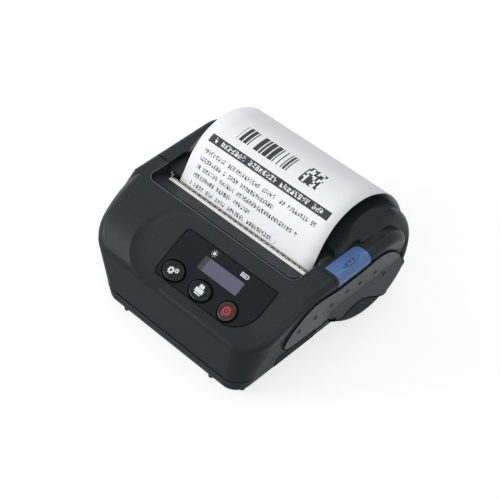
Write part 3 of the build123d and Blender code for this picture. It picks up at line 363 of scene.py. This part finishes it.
# %% Dull finishes
rubber_finish = grained("platen_rubber", linear(36, 36, 37), 0.75, 0.0005, 0.00002)
card_finish = grained("core_card", linear(164, 138, 104), 0.85, 0.0008, 0.00004, 0.1)
f = Finish("board_green")
x, y = f.axes(f.place())[:2]
runs_back, runs_across = 800, 700
tracks_back = ((x * runs_back) % 1.0 < 0.35) * (f.noise(0.006, 0.0) > 0.5)
tracks_across = ((y * runs_across) % 1.0 < 0.3) * (f.noise(0.005, 0.0) < 0.45)
tracks = tracks_back + tracks_across
board_finish = f.wear(Base_Color=f.mix(tracks * 0.6, linear(18, 82, 50), linear(40, 120, 74)),
                      Roughness=0.35, Normal=f.bump(tracks, 0.00004, 0.6))
print("dull:", rubber_finish.name, card_finish.name, board_finish.name)

# %% [markdown]
# Blank label stock is smooth white paper with short fibres, slightly grey where it is thin.
# Noise with much fine detail draws the fibres, and the same noise raises them a little. The
# printed side has the same fibres under its ink, so one maker gives both their white.


# %% Blank paper
def paper(f, dull, bright):
    """The colour and the bump of white paper, between two greys."""
    fibre = f.noise(0.0004, 4.0, 0.7)
    return f.mix(fibre, dull, bright), f.bump(fibre, 0.00001, 0.5)


f = Finish("label_blank")
white, fibres = paper(f, linear(226, 226, 229), linear(240, 240, 242))
paper_finish = f.wear(Base_Color=white, Roughness=0.75, Normal=fibres)
print("paper:", paper_finish.name)

# %% [markdown]
# Each CAD node now takes the finish of what it is made of. The nodes themselves stay as they
# are: only the material in their slots changes.

# %% Dress the CAD nodes
dress = {
    case_finish: ("upper_case", "paper_lid"),
    lower_finish: ("lower_case", "battery_latch", "battery_pack"),
    panel_finish: ("side_panel_right", "side_panel_left"),
    flap_finish: ("port_cover",),
    blue_finish: ("release_lever",),
    plate_finish: ("control_plate",),
    key_finish: ("settings_button", "feed_button"),
    rim_finish: ("power_button",),
    red_finish: ("power_lens",),
    display_finish: ("display_window",),
    chip_finish: ("display_module", "board_components", "power_jack", "paper_sensor", "roll_cradle"),
    white_finish: ("reduction_gear", "platen_gear"),
    glaze_finish: ("print_head",),
    tear_finish: ("tear_bar",),
    steel_finish: ("mechanism_frame", "lid_catch", "head_pivot_shaft", "head_springs", "stepper_motor",
                   "gear_shaft", "key_switches", "usb_socket", "hinge_pins", "lever_pin", "platen_shaft",
                   "platen_bracket"),
    screw_finish: ("key_board_screws", "mechanism_screws", "board_screws", "case_screws", "lid_screws"),
    alloy_finish: ("head_carrier",),
    brass_finish: ("motor_pinion", "battery_contacts", "platen_bushes"),
    rubber_finish: ("rubber_pads", "platen_roller"),
    card_finish: ("roll_core",),
    board_finish: ("key_board", "main_board", "port_board"),
    paper_finish: ("paper_roll", "paper_web", "paper_strip"),
}
for finish, names in dress.items():
    for name in names:
        nodes[name].data.materials.clear()
        nodes[name].data.materials.append(finish)
bare = sorted(set(nodes) - {n for names in dress.values() for n in names})
print("dressed:", len(nodes) - len(bare), "left bare:", bare)

# %% [markdown]
# The label comes up past the tear bar and curls back over the lid. It is a thin sheet swept
# along the side view of that curl, and it carries a map of its own width and length, so that
# its print can be laid out in millimetres like a real label.

# %% The label's curl
label_left, label_right = -38.25, 41.25
label_wide = label_right - label_left
curl_stops = ((-7.3, 45), (-5.1, 48.2), (2.8, 59.1), (11.8, 64.8), (23.8, 66), (34.4, 62.4),
              (41.2, 57.4), (46.4, 50.6), (49.5, 44.2), (51.2, 39.5), (51.9, 36.5))
guide_data = bpy.data.curves.new("curl_guide", "CURVE")
guide_data.dimensions = "3D"
guide_data.resolution_u = 8
guide = guide_data.splines.new("BEZIER")
guide.bezier_points.add(len(curl_stops) - 1)
for point, (y, z) in zip(guide.bezier_points, curl_stops):
    point.co = (0, y * MM, z * MM)
    point.handle_left_type = point.handle_right_type = "AUTO"
guide_object = bpy.data.objects.new("curl_guide", guide_data)
bpy.context.scene.collection.objects.link(guide_object)
drawn_guide = guide_object.evaluated_get(bpy.context.evaluated_depsgraph_get())
curl = [v.co.copy() for v in bpy.data.meshes.new_from_object(drawn_guide).vertices]
bpy.data.objects.remove(guide_object)
lengths = [0.0]
for a, b in zip(curl, curl[1:]):
    lengths.append(lengths[-1] + (b - a).length / MM)
print("label length out of the slot:", round(lengths[-1], 1), "mm in", len(curl), "steps")

# %% [markdown]
# A label printer burns small dots into the paper. So whatever it prints is either solid ink
# in a box, or dots in a box. Both are masks built from the label's own millimetres, across
# and along, and a random number for each small cell decides whether its dot is burnt.

# %% Boxes and dots on the label
f = Finish("label_printed")
u, v = f.axes(f.node("ShaderNodeUVMap"))[:2]
across, along = u * label_wide, v * round(lengths[-1], 3)
dots_wide, dots_tall = 4, 5
bare_dots, letter_gap, missing_letters = 0.42, 0.22, 0.16


def chance(a, b):
    """One random number for each pair of cells; b may be a plain number."""
    row = b.floor() if isinstance(b, Wire) else float(math.floor(b))
    cell = f.node("ShaderNodeCombineXYZ", None, a.floor(), row, 0.0)
    return f.node("ShaderNodeTexWhiteNoise", {"noise_dimensions": "2D"}, Vector=cell, out="Value")


def boxed(left, right, low, high):
    return along.between(low, high) * across.between(left, right)


def dotted(left, right, low, high, pitch):
    """A row of dot letters, each pitch wide, between two heights along the label."""
    letter = across / pitch
    dot_x, dot_y = across / (pitch / dots_wide), (along - low) / ((high - low) / dots_tall)
    burnt = chance(dot_x + 40, dot_y + low * 3) > bare_dots
    printed = (letter % 1.0 > letter_gap) * (chance(letter + 900, low) > missing_letters)
    return burnt * printed * boxed(left, right, low, high)


print("label:", label_wide, "mm wide, a letter is", dots_wide, "by", dots_tall, "dots")

# %% [markdown]
# The print is a sample label of this lesson's own: a bar pattern, a checked tile, a dark band
# with pale dots, and rows of dots that stand for text. Each mask is added to the ink, and
# a mask taken away again leaves the paper bare, as the pale dots in the band are.

# %% Printed paper
bar_wide, check_wide = 0.62, 1.1
bars = (chance(across / bar_wide, 7) > 0.45) * boxed(14, 44, 30.5, 39.5)
tile = (chance(across / check_wide, along / check_wide) > 0.5) * boxed(51, 61, 30.4, 40)
band = boxed(4, 75, 22.4, 26.5)
band_words = dotted(7, 71, 23.3, 25.7, 2.1)
row_spots = ((1.2, 58), (5.3, 40), (9.3, 66), (13.3, 50), (17.3, 72))
rows = sum(dotted(5.5, right, low, low + 2.0, 1.5) for low, right in row_spots)
ink = bars + tile + rows + band - band_words * 0.9
white, fibres = paper(f, linear(228, 228, 231), linear(242, 242, 244))
printed_finish = f.wear(Base_Color=f.mix(f.node("ShaderNodeClamp", None, ink), white, linear(38, 38, 42)),
                        Roughness=0.6, Normal=fibres)
print("print: bars, tile, band and", len(row_spots), "rows")

# %% [markdown]
# The sheet is one strip of faces across the label for each step of its curl. A Solidify
# modifier gives it the thickness of paper, and its other side takes the blank finish.

# %% The printed strip
columns, paper_thick = 12, 0.2
sheet_mesh = bpy.data.meshes.new("printed_label")
bm = bmesh.new()
uv = bm.loops.layers.uv.new("UVMap")
grid = [[bm.verts.new(((label_left + label_wide * k / columns) * MM, p.y, p.z))
         for k in range(columns + 1)] for p in curl]
for i in range(len(curl) - 1):
    for k in range(columns):
        face = bm.faces.new((grid[i][k], grid[i][k + 1], grid[i + 1][k + 1], grid[i + 1][k]))
        face.smooth = True
        for loop, (di, dk) in zip(face.loops, ((0, 0), (0, 1), (1, 1), (1, 0))):
            loop[uv].uv = ((k + dk) / columns, lengths[i + di] / lengths[-1])
bm.to_mesh(sheet_mesh)
bm.free()
printed_label = bpy.data.objects.new("printed_label", sheet_mesh)
bpy.context.scene.collection.objects.link(printed_label)
sheet_mesh.materials.append(printed_finish)
sheet_mesh.materials.append(paper_finish)
thick = printed_label.modifiers.new("paper", "SOLIDIFY")
thick.thickness, thick.offset = paper_thick * MM, 0.0
thick.material_offset = thick.material_offset_rim = 1
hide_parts("paper_strip")
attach(printed_label, "lid")
print("strip faces:", len(sheet_mesh.polygons))

# %% [markdown]
# The control panel slopes. Marks on it are drawn flat in its own two directions, across and
# down the slope, and then turned into place, so that the same few lines serve each of them.

# %% The sloping panel
top_y, top_z, foot_y, foot_z = -19.4, 50, -52.5, 32.7
panel_top = Vector((0, top_y, top_z)) * MM
slope = math.atan2(top_z - foot_z, top_y - foot_y)
panel_turn = Matrix.Rotation(slope, 3, "X")


def on_panel(x, drop, rise):
    """A place on the slope: x across, drop down it from the trough, rise above it, in mm."""
    return panel_top + panel_turn @ Vector((x, -drop, rise)) * MM


print("slope:", round(math.degrees(slope), 1), "degrees")

# %% [markdown]
# Every added piece needs the same last steps: it joins the scene, takes a finish and rides
# on a body. A raised mark is the outline drawn twice, once low and once high, with a wall
# between, and recalculated normals make all its faces look outwards.


# %% Pieces and flat marks
def add_piece(name, data, finish, body):
    """Puts a mesh or a curve in the scene, with its finish, on a body."""
    piece = bpy.data.objects.new(name, data)
    bpy.context.scene.collection.objects.link(piece)
    data.materials.append(finish)
    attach(piece, body)
    return piece


def add_mesh(name, bm, finish, body, outwards=True):
    """Makes a piece of what was built in bm."""
    if outwards:
        bmesh.ops.recalc_face_normals(bm, faces=bm.faces)
    mesh = bpy.data.meshes.new(name)
    bm.to_mesh(mesh)
    bm.free()
    return add_piece(name, mesh, finish, body)


def wall(bm, low, high):
    """The faces between a ring of corners and the next one."""
    n = len(low)
    return [bm.faces.new((low[k], low[(k + 1) % n], high[(k + 1) % n], high[k])) for k in range(n)]


def mark(name, outlines, place, finish, body, height=0.12):
    """Raised flat shapes, each a ring of (across, up) points in mm, joined in one piece."""
    bm = bmesh.new()
    for outline in outlines:
        low, high = ([bm.verts.new(place(a, b, rise)) for a, b in outline] for rise in (0.0, height))
        bm.faces.new(high)
        wall(bm, low, high)
    return add_mesh(name, bm, finish, body)


print("marks stand", mark.__defaults__[0], "mm high unless they say otherwise")

# %% [markdown]
# All the signs can be drawn from three shapes: part of a circle, a ring and a bar. Each gives
# a list of points in millimetres, so that they can be put together before anything is built.


# %% Shapes for the signs
def arc(radius, start, stop, steps=24, centre=(0, 0)):
    """Points on part of a circle, from one angle in degrees to another."""
    angles = [math.radians(start + (stop - start) * k / steps) for k in range(steps + 1)]
    return [(centre[0] + radius * math.cos(a), centre[1] + radius * math.sin(a)) for a in angles]


def ring(outer, inner):
    return arc(outer, 0, 360) + arc(inner, 360, 0)


def bar(left, low, right, high):
    return [(left, low), (right, low), (right, high), (left, high)]


print("a ring of", len(ring(2, 1)), "points")

# %% [markdown]
# The keys carry plain signs: two cogs for settings, a page over a slot for the feed, a ring
# with a bar for power. They are printed in pale ink, a light and slightly worn paint. A cog
# is one outline that steps out and in for each tooth, and then goes back round its hole.

# %% Settings sign
ink_finish = grained("sign_paint", linear(206, 214, 212), 0.5, 0.0003, 0.000005, 0.1)
pink_finish = grained("power_paint", linear(206, 84, 92), 0.5, 0.0003, 0.000005, 0.1)
key_x, key_drop, key_rise, sunk = (-4.4, 11.85, 28.1), 26.2, 1.1, 0.03


def key_place(x):
    """Turns a sign's own points into places on the key at x, a hair sunk into its top."""
    return lambda a, b, h: on_panel(x + a, key_drop - b, key_rise - sunk + h)


def cog(centre, outer, inner, teeth):
    """A cog with a hole; each tooth takes the first half of its share of the circle."""
    rim_points = []
    for tooth in range(teeth):
        for share, radius in ((0.0, outer), (0.45, outer), (0.5, inner), (0.95, inner)):
            a = 2 * math.pi * (tooth + share) / teeth
            rim_points.append((centre[0] + radius * math.cos(a), centre[1] + radius * math.sin(a)))
    hole = arc(inner * 0.45, 360, 0, 20, centre)
    return rim_points + [rim_points[0]] + hole


cogs = [cog((-0.9, -0.4), 1.75, 1.35, 8), cog((1.75, 0.75), 1.15, 0.85, 7)]
mark("settings_sign", cogs, key_place(key_x[0]), ink_finish, "settings_key")
print("settings sign:", len(cogs), "cogs")

# %% [markdown]
# The feed sign is a page that comes out of a printer's body, with a tongue of paper below.
# The power sign is a ring round a bar, in the pink of a lit lens, and rides on its own key.

# %% Feed and power signs
page = [(-1.3, 1.0), (1.3, 1.0), (1.3, 2.3), (0.8, 2.7), (-1.3, 2.7)]
mark("feed_sign", [page, bar(-2.2, -1.2, 2.2, 0.8), bar(-1.7, -2.1, 1.7, -1.45)], key_place(key_x[1]),
     ink_finish, "feed_key")
mark("power_sign", [ring(1.75, 1.4), bar(-0.17, -0.8, 0.17, 0.8)], key_place(key_x[2]), pink_finish,
     "power_key")
print("key signs at", key_x)

# %% [markdown]
# Over the display the plate has a lamp and a battery, for the printer's state and its charge,
# which read in any language. They are printed on the plate itself, so they are thinner than
# the keys' signs. The battery's outline goes round its shell, then back round the inside of it.

# %% Plate signs
lamp_x, battery_x, plate_drop, plate_rise = 5.8, 23.8, 9.9, 0.17


def plate_place(x):
    return lambda a, b, h: on_panel(x + a, plate_drop - b, plate_rise + h)


def spoke(angle, inner=1.1, outer=1.6, half=0.12):
    """A short bar that points away from the middle."""
    c, s = math.cos(angle), math.sin(angle)
    corners = ((inner, half), (inner, -half), (outer, -half), (outer, half))
    return [(c * r - s * side, s * r + c * side) for r, side in corners]


rays = [spoke(math.pi * k / 4) for k in range(8)]
mark("lamp_sign", [arc(0.75, 0, 345, 20)] + rays, plate_place(lamp_x), ink_finish, "base", 0.08)
outer, inner = bar(-2.0, -0.95, 2.0, 0.95), bar(-1.65, -0.6, 1.65, 0.6)
shell = outer + outer[:1] + inner[:1] + inner[:0:-1] + inner[:1]
charge = [bar(x, -0.4, x + 0.65, 0.4) for x in (-1.45, -0.55, 0.35)]
mark("battery_sign", [shell, bar(2.1, -0.4, 2.45, 0.4)] + charge, plate_place(battery_x), ink_finish,
     "base", 0.08)
print("plate signs at", lamp_x, battery_x)

# %% [markdown]
# Small pieces have to sit on a curved casing. So a ray is sent at a CAD node, and where it
# meets the surface it gives a place, and the direction in which the surface looks there.


# %% Where a ray meets a node
def touch(node, start, way):
    """The point and direction of a node's surface where a ray meets it."""
    hit, point, normal = nodes[node].ray_cast(Vector(start), Vector(way))[:3]
    if not hit:
        raise ValueError("the ray misses " + node)
    return point, normal


outside = 0.08
panel_point = touch("side_panel_right", (outside, 0, 0.03), (-1, 0, 0))[0]
print("the right panel is at x =", round(panel_point.x / MM, 1), "mm")

# %% [markdown]
# The side panels have a scatter of low round bumps for grip. Each is a small turned dome,
# a few rings of corners with smooth faces between them. It stands on the direction that the
# ray found, so it sits on the curve whatever its angle. Two tiny dots on the port's flap are
# made in the same way.


# %% Grip bumps
def skin(bm, rings):
    """Smooth faces between each ring of corners and the next."""
    for low, high in zip(rings, rings[1:]):
        for face in wall(bm, low, high):
            face.smooth = True


def dome(name, node, starts, way, profile, finish, body, steps=20):
    """Small turned domes set on a node where rays meet it; profile is (radius, rise) in mm."""
    bm = bmesh.new()
    circle = [2 * math.pi * k / steps for k in range(steps)]
    for start in starts:
        point, normal = touch(node, start, way)
        turn, rings = normal.to_track_quat("Z", "Y"), []
        for r, h in profile:
            corners = [Vector((r * math.cos(a) * MM, r * math.sin(a) * MM, h * MM)) for a in circle]
            rings.append([bm.verts.new(point + turn @ corner) for corner in corners])
        skin(bm, rings)
        bm.faces.new(rings[-1]).smooth = True
    return add_mesh(name, bm, finish, body, outwards=False)


hands = ((1, "right"), (-1, "left"))
bump_spots = ((-23, 28), (-14, 30), (-4, 30), (5, 32), (14, 30), (24, 29), (33, 20))
bump_profile = ((1.25, -0.2), (1.15, 0.2), (0.85, 0.45), (0.5, 0.58), (0.15, 0.62))
for side, hand in hands:
    starts = [(side * outside, y * MM, z * MM) for y, z in bump_spots]
    dome("grip_bumps_" + hand, "side_panel_" + hand, starts, (-side, 0, 0), bump_profile, panel_finish,
         "base")
dots_y, dots_z = (-0.021, -0.0132), 0.0062
dome("flap_dots", "port_cover", [(outside, y, dots_z) for y in dots_y], (-1, 0, 0),
     ((0.5, -0.1), (0.4, 0.1), (0.2, 0.16)), flap_finish, "port_flap", 14)
print("bumps on each side:", len(bump_spots), "and dots on the flap:", len(dots_y))

# %% [markdown]
# The release lever has small raised marks for the thumb. They have to follow its curved top,
# so each point of their outline is dropped onto the lever by a ray and then lifted a little.


# %% Marks draped on the lever
def drape(name, outlines, node, finish, body, height):
    """Flat shapes in (x, y) mm laid over a node from above and raised by height in mm."""
    above, depth = 0.09, 0.05
    bm = bmesh.new()
    for outline in outlines:
        low, high = [], []
        for x, y in outline:
            point, normal = touch(node, (x * MM, y * MM, above), (0, 0, -1))
            low.append(bm.verts.new(point - normal * depth * MM))
            high.append(bm.verts.new(point + normal * height * MM))
        bm.faces.new(high)
        wall(bm, low, high)
    return add_mesh(name, bm, finish, body)


def chevron(x, y):
    """A small arrowhead whose open side is at x."""
    return [(x, y - 0.8), (x + 1.4, y), (x, y + 0.8), (x, y + 0.35), (x + 0.7, y), (x, y - 0.35)]


chevrons = [chevron(51.2, y) for y in (3.2, 5.4, 7.6)]
bow = [(53.4 - 1.1 * ((y - 6) / 5) ** 2, y) for y in (1, 2.25, 3.5, 4.75, 6, 7.25, 8.5, 9.75, 11)]
line = bow + [(x - 0.28, y) for x, y in reversed(bow)]
mark_blue = grained("lever_mark_blue", linear(44, 66, 114), 0.4, 0.0003, 0.00001, 0.06, glint_share=0.0)
drape("lever_marks", chevrons + [line], "release_lever", mark_blue, "lever", 0.25)
print("lever marks:", len(chevrons), "chevrons and a line")

# %% [markdown]
# A fine bead runs round the mouth of the trough, where the mould's two halves met. It is a
# thin round rod, so a curve with a bevel draws it, and its lighter grey is painted highlight
# for the light along its edge. The same maker draws the dark lines that the eye reads as gaps
# between two mouldings, as painted shade: a real gap is darker than its own walls, since
# little light finds its way out, and a thin black rod sunk halfway in does that at any size.


# %% Rods
def rod(name, places, radius, finish, body, closed=False):
    """A round rod through places in metres, radius in mm."""
    data = bpy.data.curves.new(name, "CURVE")
    data.dimensions = "3D"
    data.bevel_depth, data.bevel_resolution = radius * MM, 2
    run = data.splines.new("POLY")
    run.points.add(len(places) - 1)
    for point, place in zip(run.points, places):
        point.co = (*place, 1)
    run.use_cyclic_u = closed
    return add_piece(name, data, finish, body)


corner_left = arc(4.4, 180, 270, 12, (-41.8, -15.3))
corner_right = arc(3.6, 270, 360, 12, (40.0, -16.1))
mouth = [(-46.2, -6.6)] + corner_left + corner_right + [(43.7, -6.6)]
mouth_z, shade_z = 50.0, 49.85
shade_in, shade_back = 0.984, 0.62
rod("trough_bead", [Vector((x, y, mouth_z)) * MM for x, y in mouth], 0.3, bead_highlight_finish, "base")
# Painted shade: a black rod just inside the mouth, where the trough's wall falls into shade.
inside = [Vector((x * shade_in, y + shade_back, shade_z)) * MM for x, y in mouth[1:-1]]
rod("trough_shade", inside, 0.24, gap_finish, "base")
print("bead corners:", len(mouth))

# %% [markdown]
# The gap lines follow the CAD parts. Where a line runs over the casing, rays find its
# surface. For the seam between the two mouldings they come in from a wide half circle round
# the front, level with the seam, and the line lies a little above where they meet the tub.


# %% Gap lines over the casing
def touches(node, starts, way):
    return [touch(node, [v * MM for v in start], way)[0] for start in starts]


seam, steps = [], 60
seam_middle, seam_reach, seam_lift = Vector((0, -30, 9.0)), 90, Vector((0, 0, 0.36 * MM))
seam_from, seam_sweep = -163, 146
for step in range(steps + 1):
    a = math.radians(seam_from + seam_sweep * step / steps)
    out = Vector((math.cos(a), math.sin(a), 0))
    seam.append(touch("lower_case", (seam_middle + out * seam_reach) * MM, -out)[0] + seam_lift)
rod("seam_line", seam, 0.24, gap_finish, "base")
lid_y = -6.35
lid_line = touches("upper_case", [(x, lid_y, 80) for x in (-47.4, -49, -50.5, -52, -53)], (0, 0, -1))
lid_line += touches("upper_case", [(-90, lid_y, z) for z in (47.5, 46, 44.6)], (1, 0, 0))
rod("lid_line_left", lid_line, 0.2, gap_finish, "base")
print("seam points:", len(seam), "lid line points:", len(lid_line))

# %% [markdown]
# Where a gap runs round a part, the part's own outline gives it: the edges at which its faces
# stop looking one way. Such edges join up into loops, and the longest is the outer one. Read
# from the part like this, a line still fits when the part's size changes.


# %% Gap lines round parts
def loops_of(node, facing, limit=0.55):
    """The closed lines at which a node's faces stop looking one way, longest first."""
    bm = bmesh.new()
    bm.from_mesh(nodes[node].data)
    bmesh.ops.remove_doubles(bm, verts=bm.verts, dist=1e-6)
    facing = Vector(facing)
    nexts = {}
    for edge in bm.edges:
        if len(edge.link_faces) == 2:
            a, b = (f.normal.dot(facing) > limit for f in edge.link_faces)
            if a != b:
                one, other = edge.verts
                nexts.setdefault(one, []).append(other)
                nexts.setdefault(other, []).append(one)
    loops, seen = [], set()
    for start in nexts:
        if start in seen:
            continue
        loop, here = [], start
        while here is not None:
            seen.add(here)
            loop.append(here.co.copy())
            here = next((v for v in nexts[here] if v not in seen), None)
        loops.append(loop)
    bm.free()
    return sorted(loops, key=lambda loop: -sum((b - a).length for a, b in zip(loop, loop[1:])))


def outline(name, node, facing, finish, body, radius):
    longest = loops_of(node, facing)[0]
    print(name, "points:", len(longest))
    return rod(name, longest, radius, finish, body, True)


outline("plate_line", "control_plate", panel_turn.col[2], gap_finish, "base", 0.2)
for side, hand in hands:
    outline("panel_line_" + hand, "side_panel_" + hand, (side, 0, 0), gap_finish, "base", 0.26)
outline("flap_line", "port_cover", (1, 0, 0), gap_finish, "port_flap", 0.2)

# %% [markdown]
# Each key sits in a well, wider than the key by a hair, into which little light falls. From
# above its shade reads as a black ring, so a thicker black rod, painted shade, runs round each
# key's hole in the plate. The holes are the plate's shorter loops, after its outer line and the
# display's window.

# %% Key wells
key_holes = loops_of("control_plate", panel_turn.col[2])[2:]
for name, loop in zip(("well_one", "well_two", "well_three"), key_holes):
    rod(name, loop, 0.36, gap_finish, "base", True)
    print(name, "points:", len(loop), "from x", round(min(p.x for p in loop) / MM, 1))

# %% [markdown]
# At the right end of the slot the lid carries a round lobe that guides the label's edge. The
# lobe is a ball pulled into a flattened shape by powers of its own sines: a power below one
# fills out its shoulders, as a moulded knob has.


# %% Slot lobe
def bulge(value, power):
    return math.copysign(abs(value) ** power, value)


lobe_middle, lobe_half = (43.4, -0.6, 46.2), (1.55, 4.5, 4.4)
around, rows_out = 32, 17


def lobe_point(a, b):
    """A place on the lobe: a goes round it, b from one flat side to the other."""
    flat = bulge(math.cos(b), 0.6)
    unit = (bulge(math.sin(b), 0.7), flat * bulge(math.cos(a), 0.8), flat * bulge(math.sin(a), 0.8))
    return Vector([m + half * v for m, half, v in zip(lobe_middle, lobe_half, unit)]) * MM


bm = bmesh.new()
lobe_rings = [[bm.verts.new(lobe_point(2 * math.pi * k / around, math.pi * (j - rows_out // 2) / rows_out))
               for k in range(around)] for j in range(rows_out)]
skin(bm, lobe_rings)
for cap in (lobe_rings[0], lobe_rings[-1]):
    bm.faces.new(cap).smooth = True
lobe = add_mesh("slot_lobe", bm, case_finish, "lid")
print("lobe faces:", len(lobe.data.polygons))

# %% [markdown]
# At the left end of the slot the steel of the tear bar is folded into a small stepped tab.
# From above it is a bent strip of one thickness. Its path is drawn once, and then back again
# moved over by the steel's gauge, which closes the outline.

# %% Tear bar's tab
tab_path = ((-45.2, -8.4), (-45.2, -7.2), (-43.4, -7.2), (-43.4, -8.2), (-42.0, -8.2), (-42.0, -9.0))
gauge, tab_z, tab_height = 0.35, 44.9, 1.6
tab = list(tab_path) + [(x + gauge, y + gauge) for x, y in reversed(tab_path)]
mark("tear_tab", [tab], lambda a, b, h: Vector((a, b, tab_z + h)) * MM, steel_finish, "base", tab_height)
print("tab:", len(tab_path) - 1, "straight runs")

# %% [markdown]
# The photograph was lit by large soft boxes over a white table. The table looks white because
# a little glow is added where the camera, or a mirror, sees it, and that glow lights nothing.
# The printer's shadow still shows in what remains.

# %% Floor
floor_mesh = bpy.data.meshes.new("table_top")
reach, table_glow = 3.0, 0.74
floor_mesh.from_pydata([(x, y, 0) for x, y in bar(-reach, -reach, reach, reach)], [], [(0, 1, 2, 3)])
floor = bpy.data.objects.new("table_top", floor_mesh)
bpy.context.scene.collection.objects.link(floor)
f = Finish("white_table")
cloud = f.noise(0.5, 1.0)


def seen_directly(finish):
    """1 for the camera, mirrors and glass, 0 for light that falls on other things."""
    view = [finish.node("ShaderNodeLightPath", out=f"Is {ray} Ray")
            for ray in ("Camera", "Glossy", "Transmission")]
    return finish.node("ShaderNodeClamp", None, view[0] + view[1] + view[2])


f.wear(Base_Color=f.mix(cloud, (0.33, 0.33, 0.33, 1), (0.35, 0.35, 0.35, 1)), Roughness=0.9,
       Specular_IOR_Level=0.1, Emission_Color=(1, 1, 1, 1),
       Emission_Strength=seen_directly(f) * table_glow)
floor_mesh.materials.append(f.material)
print("table top:", reach * 2, "m square")

# %% [markdown]
# The main lamp stands low in front on the left. Weaker ones to the left, in front, above and
# to the right soften its shadows, and a plain white sky fills in the rest. The camera sees
# that sky at full white, though it lights the printer at half. All is set to a plain level,
# at which a grey card renders as its own grey.

# %% Lamps and sky
world = bpy.data.worlds.new("soft_sky")
bpy.context.scene.world = world
sky = Finish(world)
sky_light = 0.5
sky.wear(Color=(1, 1, 1, 1), Strength=seen_directly(sky) * (1 - sky_light) + sky_light)
middle = Vector((0, 0, 0.03))


def soft_box(name, place, power, wide):
    """A square lamp, wide metres across, that looks at the middle of the printer."""
    data = bpy.data.lights.new(name, "AREA")
    data.energy, data.size = power, wide
    lamp = bpy.data.objects.new(name, data)
    lamp.location = place
    lamp.rotation_euler = (middle - Vector(place)).to_track_quat("-Z", "Y").to_euler()
    bpy.context.scene.collection.objects.link(lamp)


soft_box("main_box", (-0.68, -0.74, 0.42), 5.8, 0.4)
soft_box("left_box", (-0.9, 0.1, 0.2), 1.6, 0.4)
soft_box("front_box", (0.2, -0.8, 0.8), 1.6, 0.6)
soft_box("top_box", (0.1, 0.3, 1.0), 1.5, 0.5)
soft_box("right_box", (0.8, -0.3, 0.3), 1.0, 0.5)
bpy.context.scene.view_settings.view_transform = "Standard"

# %% [markdown]
